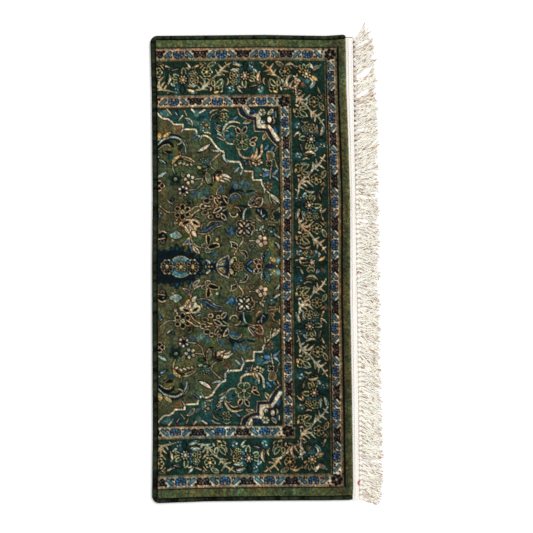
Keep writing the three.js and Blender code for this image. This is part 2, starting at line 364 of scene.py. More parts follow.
def cloth_material(name, group_tree, values, bump, sheen, shades=None):
    """Cloth of one plain dye, or dyed by a piece's own attribute of colours."""
    material, nodes, links, shader = new_material(name, 0.9)
    group = nodes.new("ShaderNodeGroup")
    group.node_tree = group_tree
    for socket, value in values.items():
        group.inputs[socket].default_value = value
    if shades:
        dyes = nodes.new("ShaderNodeAttribute")
        dyes.attribute_name = shades
        links.new(dyes.outputs["Color"], group.inputs["Dye"])
    links.new(group.outputs["Color"], shader.inputs["Base Color"])
    links.new(group.outputs["Roughness"], shader.inputs["Roughness"])
    relief = nodes.new("ShaderNodeBump")
    relief.inputs["Strength"].default_value = 0.9
    relief.inputs["Distance"].default_value = bump
    links.new(group.outputs["Height"], relief.inputs["Height"])
    links.new(relief.outputs["Normal"], shader.inputs["Normal"])
    shader.inputs["Specular IOR Level"].default_value = 0.06
    shader.inputs["Sheen Weight"].default_value = sheen
    shader.inputs["Sheen Roughness"].default_value = 0.6
    return material


def plain_dye(red, green, blue):
    """Opaque colour for a socket, from parts of 255."""
    return (*linear(np.array((red, green, blue)) / 255), 1)


# ---------------------------------------------------------------- the weaver's cartoon
# Half of the design, in millimetres: s runs from the fringed end of the pile towards the cut
# edge, v from the middle line to the long edge. The other half is its mirror image, apart
# from the flower head on the middle line.
CARTOON_REACH = 346.0
CARTOON_HALF = 402.0
CARTOON_CELL = 0.4
FIELD_CORNER = (122.6, 272.8)
RIM = 1.6
SOFT_EDGE = 0.9
OUTLINE = {"width": 1.8, "depth": 0.78, "from_light": 0.36}

DYES = {
    "black": (12, 12, 12), "ink": (12, 24, 28), "navy": (22, 32, 50), "blue": (44, 74, 99),
    "sky": (78, 108, 130), "lake": (70, 110, 120), "ice": (94, 132, 134), "mist": (144, 154, 142),
    "haze": (74, 98, 88), "teal": (52, 84, 82), "pool": (26, 58, 58), "pine": (20, 38, 30),
    "green": (21, 42, 33), "spandrel": (29, 60, 50), "fern": (50, 70, 42),
    "moss": (74, 78, 46), "olive": (63, 67, 45), "band": (72, 80, 50), "edge": (62, 63, 40),
    "sage": (150, 146, 104), "straw": (170, 154, 108), "gold": (170, 140, 88),
    "bronze": (92, 80, 52), "rust": (104, 70, 48), "umber": (72, 57, 40),
    "taupe": (112, 100, 80), "buff": (148, 130, 96), "cream": (172, 154, 122),
    "ivory": (194, 180, 152), "white": (200, 192, 174), "peach": (190, 160, 132),
    "mauve": (84, 70, 66), "twig": (124, 100, 80), "ground": (170, 151, 124),
    "pale": (140, 126, 104), "frost": (196, 184, 154), "slate": (66, 90, 94),
    "seam": (36, 30, 22), "bone": (194, 174, 144), "dusk": (46, 70, 84), "dry": (80, 77, 50),
}

# Each band starts this far from the fringed end and this far from the middle line, and has
# one colour along the end and one along the side
BANDS = """
start_s start_v end_dye side_dye
0       410     edge    band
12.0    379.8   black   seam
15.0    377.2   bronze  twig
18.2    375.6   taupe   buff
19.8    374.2   bone    ground
31.4    362.0   taupe   taupe
33.2    360.4   black   taupe
35.0    359.0   bronze  bronze
36.9    356.4   green   green
97.2    297.2   bronze  bronze
99.8    295.8   black   twig
101.4   293.4   pale    taupe
102.8   292.2   bone    ground
114.4   279.2   taupe   buff
116.2   277.4   bronze  twig
119.0   275.6   black   seam
121.4   272.4   olive   olive
"""


def number_or_word(cell):
    """Value of one cell of a table."""
    try:
        return float(cell)
    except ValueError:
        return cell


def rows(text):
    """Table with named columns: the first line names them, a cell is a number or a word."""
    lines = [line.split() for line in text.strip().splitlines()]
    return [dict(zip(lines[0], map(number_or_word, cells))) for cells in lines[1:]]


def dye(name):
    """Colour of a named dye, between 0 and 1."""
    return np.array(DYES[name], float) / 255


def smooth_path(points, closed=False, pieces=5):
    """Catmull-Rom curve through the points, as a chain of short straight pieces."""
    p = np.asarray(points, float)
    if len(p) < 3:
        return p
    before, after = (p[-1], p[0]) if closed else (2 * p[0] - p[1], 2 * p[-1] - p[-2])
    ring = np.vstack([before, p, after] + ([p[1]] if closed else []))
    a, b, c, d = (ring[i:len(ring) - 3 + i, None] for i in range(4))
    t = (np.arange(pieces) / pieces)[None, :, None]
    curve = 0.5 * (2 * b + (c - a) * t + (2 * a - 5 * b + 4 * c - d) * t ** 2
                   + (3 * b - a - 3 * c + d) * t ** 3)
    curve = curve.reshape(-1, p.shape[1])
    return curve if closed else np.vstack([curve, p[-1]])


def chain_distance(x, y, chain, widths):
    """Distance from each point to a chain of straight pieces, less half of its width there."""
    nearest = np.full(x.shape, 1e3)
    for (ax, ay), (bx, by), wa, wb in zip(chain[:-1], chain[1:], widths[:-1], widths[1:]):
        dx, dy = bx - ax, by - ay
        t = np.clip(((x - ax) * dx + (y - ay) * dy) / (dx * dx + dy * dy + 1e-9), 0, 1)
        gap = np.hypot(x - ax - t * dx, y - ay - t * dy) - (wa + (wb - wa) * t) / 2
        np.minimum(nearest, gap, out=nearest)
    return nearest


def inside(x, y, chain):
    """Whether each point lies inside a closed chain, by counting the sides to its right."""
    odd = np.zeros(x.shape, bool)
    for (ax, ay), (bx, by) in zip(chain, np.roll(chain, -1, axis=0)):
        crosses = (ay > y) != (by > y)
        with np.errstate(divide="ignore", invalid="ignore"):
            odd ^= crosses & (x < (bx - ax) * (y - ay) / (by - ay) + ax)
    return odd


class Brush:
    """Paints on the cartoon in its own axes: x along `along`, y along `across`, from a start."""

    def __init__(self, cloth, start=(0, 0), along=(1, 0), across=(0, 1), outlined=True):
        self.cloth, self.start, self.outlined = cloth, np.array(start, float), outlined
        self.along, self.across = np.array(along, float), np.array(across, float)

    def window(self, low, high):
        """Slices of the cartoon round a box given in the brush's axes, and its own x and y."""
        corners = [self.start + self.along * x + self.across * y
                   for x in (low[0], high[0]) for y in (low[1], high[1])]
        cells = np.array(corners) / CARTOON_CELL
        first = np.clip(np.floor(cells.min(0)).astype(int) - 2, 0, None)
        last = np.clip(np.ceil(cells.max(0)).astype(int) + 3, 0, self.cloth.shape[:2])
        place = np.stack(np.meshgrid(*(np.arange(a, b) + 0.5 for a, b in zip(first, last)),
                                     indexing="ij"), -1) * CARTOON_CELL - self.start
        x = place @ self.along / (self.along @ self.along)
        y = place @ self.across / (self.across @ self.across)
        return tuple(slice(a, b) for a, b in zip(first, last)), x, y

    def lay(self, slices, distance, fill, rim, rim_width=RIM):
        """Dye what lies at a distance under zero, with a rim of another dye just inside, and
        darken the knots round anything pale."""
        patch = self.cloth[slices]
        if dye(fill if rim == "-" else rim).mean() > OUTLINE["from_light"] and self.outlined:
            ring = np.clip((OUTLINE["width"] - distance) / SOFT_EDGE, 0, 1) * (distance > 0)
            patch *= 1 - OUTLINE["depth"] * ring[..., None]
        for name, edge in ((rim, 0.0), (fill, rim_width if rim != "-" else 0.0)):
            if name != "-":
                cover = np.clip(0.5 - (distance + edge) / SOFT_EDGE, 0, 1)[..., None]
                patch += (dye(name) - patch) * cover

    def line(self, points, size, fill, rim):
        """Curved line through the points, with its widths spread evenly along it."""
        widths = np.interp(np.linspace(0, 1, len(points)), np.linspace(0, 1, len(size)), size)
        path = smooth_path(np.column_stack([points, widths]))
        chain, widths = path[:, :2], path[:, 2]
        reach = max(size) / 2 + 1
        slices, x, y = self.window(chain.min(0) - reach, chain.max(0) + reach)
        self.lay(slices, chain_distance(x, y, chain, widths), fill, rim)

    def bars(self, points, size, fill, rim):
        """Straight-sided line: the chain keeps its corners."""
        chain = np.asarray(points, float)
        widths = np.interp(np.linspace(0, 1, len(chain)), np.linspace(0, 1, len(size)), size)
        slices, x, y = self.window(chain.min(0) - max(size), chain.max(0) + max(size))
        self.lay(slices, chain_distance(x, y, chain, widths), fill, rim)

    def area(self, points, size, fill, rim):
        """Filled shape inside a closed curve through the points: the width of its rim."""
        chain = smooth_path(points, closed=True)
        slices, x, y = self.window(chain.min(0) - 1, chain.max(0) + 1)
        edge = chain_distance(x, y, np.vstack([chain, chain[:1]]), np.zeros(len(chain) + 1))
        self.lay(slices, np.where(inside(x, y, chain), -edge, edge), fill, rim,
                 size[0] or RIM)

    def leaf(self, points, size, fill, rim):
        """Pointed leaf on a bowed line from the first point to the second."""
        a, b = np.asarray(points, float)
        width, bow = (list(size) + [0])[:2]
        t = np.linspace(0, 1, 13)[:, None]
        side = np.array([a[1] - b[1], b[0] - a[0]]) / max(np.hypot(*(b - a)), 1e-6)
        path = a + (b - a) * t + side * bow * 4 * t * (1 - t)
        widths = width * np.sin(np.pi * np.clip(t[:, 0], 0.02, 0.98)) ** 0.8
        slices, x, y = self.window(path.min(0) - width, path.max(0) + width)
        self.lay(slices, chain_distance(x, y, path, widths), fill, rim)

    def dot(self, points, size, fill, rim):
        """Oval: half length, half width and turn in degrees."""
        long, short, turn = (list(size) + [size[0], 0][len(size) - 1:])[:3]
        turn = np.radians(turn)
        for px, py in points:
            slices, x, y = self.window((px - long - 1, py - long - 1),
                                       (px + long + 1, py + long + 1))
            u = (x - px) * np.cos(turn) + (y - py) * np.sin(turn)
            w = (y - py) * np.cos(turn) - (x - px) * np.sin(turn)
            distance = (np.hypot(u / long, w / short) - 1) * min(long, short)
            self.lay(slices, distance, fill, rim)

    def cloud(self, points, size, fill, rim):
        """Oval that fades into what lies round it: half length and half width."""
        for px, py in points:
            slices, x, y = self.window((px - size[0] - 6, py - size[1] - 6),
                                       (px + size[0] + 6, py + size[1] + 6))
            distance = (np.hypot((x - px) / size[0], (y - py) / size[1]) - 1) * min(size)
            self.lay(slices, distance / 9, fill, rim)

    def bloom(self, points, size, fill, rim):
        """Lobed flower: radius, number of petals, turn in degrees and depth of the notches."""
        radius, petals, turn, notch = (list(size) + [0, 0.16][len(size) - 2:])[:4]
        for px, py in points:
            slices, x, y = self.window((px - radius - 1, py - radius - 1),
                                       (px + radius + 1, py + radius + 1))
            angle = np.arctan2(y - py, x - px) - np.radians(turn)
            lobe = np.abs(np.sin(angle * petals / 2)) ** 3
            away = np.hypot(x - px, y - py)
            self.lay(slices, away - radius * (1 - notch * lobe), fill, rim)
            if rim != "-":
                parting = np.abs(np.cos(angle * petals / 2)) * away * 2 / petals - RIM / 3
                parting = np.maximum(parting, away - radius * (1 - notch))
                self.lay(slices, parting, rim, "-")

    def petals(self, points, size, fill, rim):
        """Ring of separate petals: their distance out, number, turn, length and width."""
        out, count, turn, length, width = size
        for px, py in points:
            for k in range(int(count)):
                angle = turn + 360 * k / count
                at = (px + out * np.cos(np.radians(angle)), py + out * np.sin(np.radians(angle)))
                self.dot([at], (length / 2, width / 2, angle), fill, rim)

    def comb(self, points, size, fill, rim):
        """Row of short bars between two points: their number, length and width."""
        a, b = np.asarray(points, float)
        count, length, width = size
        side = np.array([a[1] - b[1], b[0] - a[0]]) / np.hypot(*(b - a)) * length / 2
        for t in (np.arange(int(count)) + 0.5) / count:
            middle = a + (b - a) * t
            self.bars([middle - side, middle + side], (width,), fill, rim)

    def draw(self, table):
        """Draw a table of motifs: kind, fill, rim, sizes parted by slashes, then the points."""
        for entry in filter(None, table.splitlines()):
            kind, fill, rim, size, *points = entry.split()
            at = [tuple(map(float, point.split(","))) for point in points]
            getattr(self, kind)(at, [float(number) for number in size.split("/")], fill, rim)


# One repeat of a guard border, seen with its outer side at x = 0 and its flower at y = 0
BLUE_FLOWER = """
area black - 0 0.4,7.8 4,9.6 9.4,9.4 12.8,5.8 13.6,0 12.8,-5.8 9.4,-9.4 4,-9.6 0.4,-7.8
dot blue - 2.3/2.1 3,5.8 3,-5.8 8.2,6.2 8.2,-6.2
dot blue - 2.2/1.9 10.8,2.1 10.8,-2.1
dot blue - 1.5/1.6 6.6,2.2 6.6,-2.2
dot sky - 1.1/0.9 3,6 3,-6 8.4,6.4 8.4,-6.4 11,2 11,-2
dot twig - 2.5/2.1 2.4,0
dot black - 2.1/1.6 10.4,12.2 10.4,-12.2
"""
DARK_FLOWER = """
area black - 0 0.2,8 5,11 10.6,10.6 12.6,5 10.4,0 12.6,-5 10.6,-10.6 5,-11 0.2,-8
leaf black - 3.8/1.2 3.4,9.0 0.6,15
leaf black - 3.8/-1.2 3.4,-9.0 0.6,-15
dot mauve - 1.2/1.4 3.6,5.4 3.6,-5.4 9,7 9,-7 7.4,3 7.4,-3
dot mauve - 3/1.5 3.6,0
dot twig - 2/2 11,0
"""
GUARD_LEAVES = """
bars ink - 6.8 3,14.4 9.8,22.4
bars ink - 6.8 3,-14.4 9.8,-22.4
bars slate - 4.2 3.2,14.6 9.6,22.2
bars slate - 4.2 3.2,-14.6 9.6,-22.2
dot black - 2/1.6 2.2,25 2.2,-25 11,15.6 11,-15.6
"""

# The main border between one flower head at y = 107 and the next at y = 217: x from the
# fringed end, y from the middle line. Each cell is the mirror image of the one beside it:
# its shaded ground, its thorny scroll, and the flowers and leaves round that.
BORDER_SHADE = """
cloud pool - 10/8 60,203 88,190
cloud pine - 8/12 50,140 88,206 72,180
dot haze - 6/5/10 87,191
dot mist - 2.2/1.6/40 85,188 88,194
leaf mist - 2.2/-1 72,178 84,178
"""
BORDER_SCROLL = """
line cream - 1/2.2/3.2/3.8/3/2.2/2.6/3.4/3.2/2.6/2/1 91,121 88,130 87,138 83,146 77,151 70,156 \
65,163 60,169 54,173 48,180 43,188 41,192
line cream - 3/2.4/1 86,142 87,147 88,151
line cream - 3.4/3/2.6/1 80,145 73,146 68,142 63,137
line cream - 3/2.4/1 82,143 77,140 73,136
line cream - 3/2.4/1 86,137 82,135 79,133
line cream - 3.2/2.2/1 78,151 77,155 76,157
line cream - 3/2.4/1 63,167 62,173 62,179
line cream - 3/2.4/1 55,174 56,180 57,185
line cream - 3/2.2/1 60,169 56,166 53,164
line cream - 3/2.4/1 52,175 47,171 43,168
line cream - 2.4/1 88.6,128 93,132
line cream - 2.4/1 81,148.4 83.4,154
line cream - 2.4/1 71.6,154.8 68.6,150
line cream - 2.4/1 67.6,160 72,163.4
line cream - 2.4/1 57.4,171 59.6,176.4
line cream - 2.4/1 45.4,184.6 49.6,188
line cream - 2.4/1 45.6,183.6 40.6,180.6
line cream - 2/1 70.4,143.4 68,148
"""
BORDER_CELL = """
bloom green straw 9.4/6/30/0.1 57,149.5
dot gold - 2.8/2.6 57,149.5
leaf green buff 8 47.5,150.5 40.5,165
leaf bronze - 2.6 46,155 43,161
leaf bronze - 6/1 44,133 43.5,149
leaf taupe - 3/1 44.6,134 44.6,146
line taupe - 3/2.4/1 45,135 48,131 53,128
line buff - 3/2/1 46,134 48,129 50,123
line buff - 2.4/1 45,143 51,138
bloom green straw 8.8/4/45/0.2 85,169
dot sage - 1.8/1.6 85,169
leaf green straw 8.6/-1 83,164 69,175
leaf green straw 7.4/1 82,162 70.6,160
leaf gold - 4 93,161 91,169
leaf peach - 3 90,155 83,157
line buff - 1/4/4.6/3.4/1 78,192 72,196 66,195 61,192 57,190
line taupe - 1/1.4/1 76,190 68,192 60,189
line buff - 1/2.8/1 80,183 74,186 68,184
"""

# The flower head on the border's middle, drawn for the one at y = 107
BORDER_HEAD = """
cloud pool - 12/8 68,96 82,112
line haze - 5/7/4 76,90 68,97 59,92
dot sky - 1.8 72,95 64,96
leaf ice - 6/1 94,84 88,100
leaf cream - 4/-1 90,83 86,99
leaf gold - 3/0 83,84 81,96
leaf mist - 4.6/-1 80,79 78,94
bloom green straw 8/5/90/0.12 70.6,85
bloom green sage 6.4/5/-90/0.12 59.6,86
dot bronze - 1.6 70,85 60.5,85.5
line cream - 4/3/1 50,93 45,95 40.5,100
line cream - 3/1 51,95 49,100.5
dot black - 8.5/4.6/0 87,106
dot pine - 7/3.2/0 87,106
leaf mist - 5/0.6 82,119 75.5,127
dot haze - 7/4/10 89,116
dot mist - 1.6/1.0 92,117 87,114 85,118
leaf black - 8/1 54,129 49,109
leaf mauve - 5/1 54,127 50,111
line taupe - 1/1.6/1 53.4,124 52,118 50.6,113
line black - 1.6/3/1.6 74,132.6 69,134 64,132.6
line cream - 1/3.6/3.4/1 77,131 71,128 65,127 60,129
leaf green straw 8.8/1 65,104 49,105
leaf green sage 7/1 69,110 76.5,122
leaf green sage 7 66.6,110 67.4,124
leaf green sage 7/-1 65,110 60,122
bloom black - 9.4/8/0/0.1 70,105
petals buff - 5.6/8/22/4.6/2.2 70,105
dot ivory - 2.6/2.4 70,105
"""

# The flower head on the carpet's middle line, the one thing whose two halves differ
MIDDLE_HEAD = """
cloud pool - 9/10 87,-23
cloud pine - 8/9 50,-2
line pale - 1/2/2.2/3/1 88,35 84,32 78,30.6 72,32 67.6,34.6
leaf bronze taupe 4/0 91,28 90.6,18.6
dot gold - 1.6 81.4,22.9
line haze - 4/6/4 74,17.6 66,16.4 60,19
leaf ice - 5/1 60.4,27.6 50.6,19
leaf mist - 4/-1 53.6,24 54,15.6
bloom green straw 5.4/4/0/0.16 75,22
bloom green straw 5/5/40/0.16 66,23.4
line cream - 1/3.8/4.2/3/1 94.6,9.6 88,11.2 83,13.4 78,12.4 74,13.6
line cream - 3.4/2.4/1 87,11 84.6,6 83,2
line buff - 1.2/1.6/1 82,5.4 76,6 71,7.4
line buff - 1.2/1.4/1 82,1.6 76,0.6 71,0.4
leaf gold - 4.6/0.6 54.6,9 42.4,16.6
dot black - 7.4/3.6/0 47,5.4
dot pine - 6/2.4/0 47,5.4
dot umber - 5/3.4/20 47,-7.4
line dusk - 1.6/2/1 41,-3 41.6,-8 45,-12.6
leaf mist - 3.6/0.6 54.6,-5 58,-14
leaf sky - 2/0 52.4,-6 54.6,-13
leaf sage black 7/2 85,-1 78,-15.6
line taupe - 1/1.6/1 92,-2 88,-1.6 84,-3.6
area green straw 1.4 71,-1.6 74.6,-7 70.4,-11 66.8,-7.4 63,-11 60.6,-6 63.4,-1.6
bloom straw black 7/5/0/0.2 65,5.9
dot peach - 3/2.8 65,5.9
dot peach - 1.3 61.5,0.2 69.7,0.8
line sage - 1/3/3.8/2.8/1 75,-20 69.6,-17.4 64.4,-17 59.6,-19.6 55,-24
line pale - 1/2.6/2.6/1 79,-31 74,-27.8 69,-27.8 65.4,-29.6
dot blue - 2.6/3.6 85.8,-20.6
dot mist - 1.9/1.4 84.2,-25
line taupe - 1/1.6/1 93,-37 88,-35 83,-33.6
"""

# Where the border turns the corner
BORDER_CORNER = """
dot pool - 14/9/40 60,330 78,318
line cream - 4/5/5/5/5/4 88,298 88,306 94,308.6 100,310.6 106,314 112,322
line cream - 4/5/4/1 88,306 87,315 87.6,324 85,333
line ivory - 1/1.8/1.6/1 88,300 88.6,307 98,310 108,317
line cream - 4/3/1 89,311 84,317 80,322
line cream - 4/4/3/1 103,313 104,320 101,327 97,332
line cream - 4/2/1 98,311 96,316 92,322
line mist - 3/2.4/1 91,329 85,324 80,321
leaf cream - 5/1 90,326 79,321
line haze - 4/5/4 74,322 68,322 60,326
dot sky - 1.6 68,323 72,320
bloom moss taupe 6.6/6/0/0.2 75,314
dot rust - 3/3/0 76,315
line ice - 2/5/5/1 62,308 56.4,316 57.6,324 64,331
line ivory - 1/2.6/2.4/1 63,311 58.6,317 59.6,323 65,328
dot teal - 6/5/0 69,322
leaf gold - 6/0.6 60,330 49,322
dot pine - 7/4/-20 52,337
leaf taupe - 8/-1 58,340 45,347
leaf haze - 4/1 56,345 42,350
leaf white - 5/0.8 64,353 57,343
leaf green buff 6.6/1 74,338 82,348
leaf green sage 6.6 72,338 74,351
leaf green sage 6.6/-1 69,338 64,350
leaf gold - 4 72,334 83,338
bloom black - 9/8/10/0.1 69,333.5
petals gold - 5.6/8/22/5/2.6 69,333.5
dot ivory - 2.6/2.4 69,333.5
line buff - 1/3/3.4/1 88,345 94,350 101,350 107,346
"""

# Teal corner of the field: its stepped edge, the knotted strap round its inner corner and
# the flowers between them
STEPPED_EDGE = ("122,110 127,117 134,122.5 141,128.5 147,134.5 150.5,141 152,148.3 166.4,148.8 "
                "166.8,163.6 181,164.4 185,170 189,180.3 207,180.8 212.5,185 214.5,192 216.5,198.6 "
                "222.5,200 228.5,206.5 233,213 238.5,221.5 245,225.4 252,226.6 257.5,224.4 "
                "261.5,228 263.5,237 285.4,237.8 286,246 302,246.4 305.5,251.5 311,255.6 "
                "321,257 326.5,262 331,268 336,274")
SPANDREL = """
leaf sky - 4/0 200,253 190,260
cloud teal - 7/8 205,226 157,164
dot pool - 12/10/0 245,262 300,262
dot teal - 11/6/0 316,266
cloud pool - 8/12 165,200 176,240 230,240
dot pool - 10/8/0 186,178
leaf sky - 4/0 182,184 173,175
line cream - 2/1 172,181 169,172
dot taupe - 1.8/2.4 178,177
dot black - 10/5/0 158,177
dot sage - 4/3.2 162,183 155,183.4
dot cream - 2.2/2.2 165,178 160.6,175 155.4,176.4 151,179
line cream - 2.4/3.4/3.4/4/5/4/2 191,203 188,193 181,187.6 172,186.6 164,185 157,186 152,191
line buff - 4/3/2 168,187 166,191 165,194
line cream - 5/5/4.4/3.6 160,186 155,190 150.5,197 149.6,209
line cream - 4/3.6/1.8 163,187 159,195 158.6,203
line black - 1/3/1 156.5,189 154,196 154.5,204
line haze - 3/3/1 162,196 164,203 160,210
bloom fern cream 15.4/6/-60/0.16 184,214.6
dot fern cream 3/2.8 184,214.6
leaf black cream 8.6/-1 186,229 193,241
leaf black cream 8.6/1 184,229.5 176,242.5
leaf black cream 8/1 171.4,216 157,223
dot black cream 5/3.8 165.6,211
line cream - 2/3.4/3.8/3.8/3.4/2.6/2 187,247.4 198,250.4 208,247.6 214,240 216.4,230 214.4,219 \
207,212 198,211.4
line black - 1/1.6/1 199,247 207,243.8 211.6,238
line cream - 1/2.4/1.6 194,241 203,242.6 212,235.6
line cream - 1/2/1.4 206,232.6 211,234.8 215,232.4
line black - 1/1.6/1 198,245.6 192,245.6 187,244
dot black - 3.4/2.4 202,223.6
dot mauve - 1.4/1 201.4,224
bloom moss sage 8.6/6/0/0.16 214.5,258
dot buff - 2 214.5,258
leaf black - 5/-1 230,254 219.6,260
line mauve - 1.4/1 227,256 221,259
line buff - 1.2/2/1.4 238.5,253 235,261 227,266
line cream - 1/2.4/1 240,265 233,270 225,271.5
line sage - 1/2/1 221,268 214,271.5 206,268
line ivory - 3.4/2.4 248,271 262,263
line ivory - 2/3.2 262,263 270,272
leaf haze - 9/0 262,270 262,258
dot teal - 10.5/13/0 247,243
dot haze - 3.4/5 242,247 253,238
dot mist - 1.6/1.2 251,235 240,240 254,246
dot gold - 2.8/2.4 245.4,245
dot straw - 1.5/1.6 250.4,249.4 250,239.6
line straw - 1.4/2.8/1.4 249,231.4 243,231.6 237,229
leaf mauve haze 6/1 267,253 258,245
leaf haze cream 8.4/-1.4 282,257 269,244
line sky - 2/1 279,254 273,248
line cream - 1.8/1.2 286,262 293,253
dot navy - 5/3.4/30 297,268
line mist - 1.4 299,268 295,262
line buff - 3/2.4/1.2 313,273 308,267 305,262
line buff - 2/1.4 283,270 279,262
line taupe - 3/2.4/1 230,247 225,242 221,237
dot black - 3/2.2/20 226,247
bloom haze mist 6/5/0/0.2 226,240
dot sage - 2/1.8 225,237
line cream - 2/3/1 227,235 222,231 218,229
line mist - 2/3.4/1 226,229 221,227 216,222
line buff - 1.6/2.8/1 227,223 221,220.5 214,216
dot umber - 9/8/0 140,139
dot cream umber 3/2.6/20 146.6,142.6 140.4,143.6 134.6,141.4
dot sage umber 3.2/2.6 141,137.4 134.4,135.4
dot cream umber 2.8/2.2 138,131.6
line mist - 1.4/4/4.4/1.4 150,167.6 146,167 141,164 136,166
leaf sky - 8/-1 151,155 136,160
leaf blue - 4 148,159 139,165
dot gold - 2/1.4 152.4,157
line ivory sky 5.4/5/2 133,156 128,161 122.6,168
line ivory sky 4.6/4/2 131,154.6 126,152 122.6,147
area bronze cream 1.4 142,197 141.4,186 137,181.6 131,185 128,192 132,198.4
line umber - 1.6/2/1 139,195 135,190 136,185
line buff - 1.6 131,186 127,182 125.6,174 122.6,168
line cream - 1.4/2.2/1.2 132,184 134,172 136,160 137,151
bloom black cream 6.6/4/45/0.2 137.6,177.4
dot black - 2.6/2.2 137.6,177.4
leaf sky - 4.6 146,200 137,209.6
leaf sky - 4 134,199.6 128.6,207
line gold - 2/3/2 126,213 124.6,205 127,198
leaf moss cream 7 182,247 162.4,253.6
leaf moss cream 7 141,231 148,217.6
"""
STRAP = """
area pine - 0 122,272 190,272 178,257 161,251 160,236 142,236 132,216 122,208
line buff - 2/2/1.8/1.8/1.6 190,273 187,263 179,256.6 170,252.6 162.6,251.4
bars buff - 1.8 162.6,252 161.6,233 142.6,232.4
line buff - 1.8/1.8/2 142.6,233 138,223 130,213 122,205.6
line navy - 4/3.4/3 185.4,273 182,262.6 172.6,256.6 161,255
bars navy - 2.8 160.8,255.4 159.8,235.6 140,235.2
line navy - 3/3.4/4 139.4,236 135.4,227.4 128.6,217.8 122,210.8
line cream - 10/10/8.6/7.4 177,275 171.6,266.6 163.6,261.8 154.6,260.4
line ivory - 3/5.4/5.4/5 176.6,274 171.4,266.8 163.6,262 155.6,260.6
bars ivory - 7.4 154.4,261 154,242.2 137,241.4
line cream - 7/8/9/9.6 137.6,241.8 131.4,234 126.8,226 121.6,219
line ivory - 4.6/5.4/6/5.6 136.6,241.4 131.2,233.6 126.8,226 121.6,219
dot navy - 5/5 146.4,250
dot ivory - 3.2 146.8,249.6
dot navy - 1.4 145.8,250.4
line navy - 2.6/3/2 141.6,250 137,246.6 131,249
dot navy - 7/4.4/-20 164,266.4
dot blue - 1.7/1.4 167,268 162.6,268.6 160,264.6
bloom ground pine 7.8/6/0/0.1 147.6,266
line fern - 1.8 151,268 148,264.4 145,267.6
dot pine - 4.6/4/30 146,256
dot ivory - 3.4/5.4 135.4,253.4
line cream - 1.4/2/1 129,257 127,250 131,243
leaf haze cream 7/1 138,262 129.6,272
leaf blue - 5 127.6,257 128.4,267.6
line cream - 1.2 124,258 124.6,267
leaf blue - 6/1 127,242 122.6,230
line black - 2 131,244 126,246 122.6,246
"""

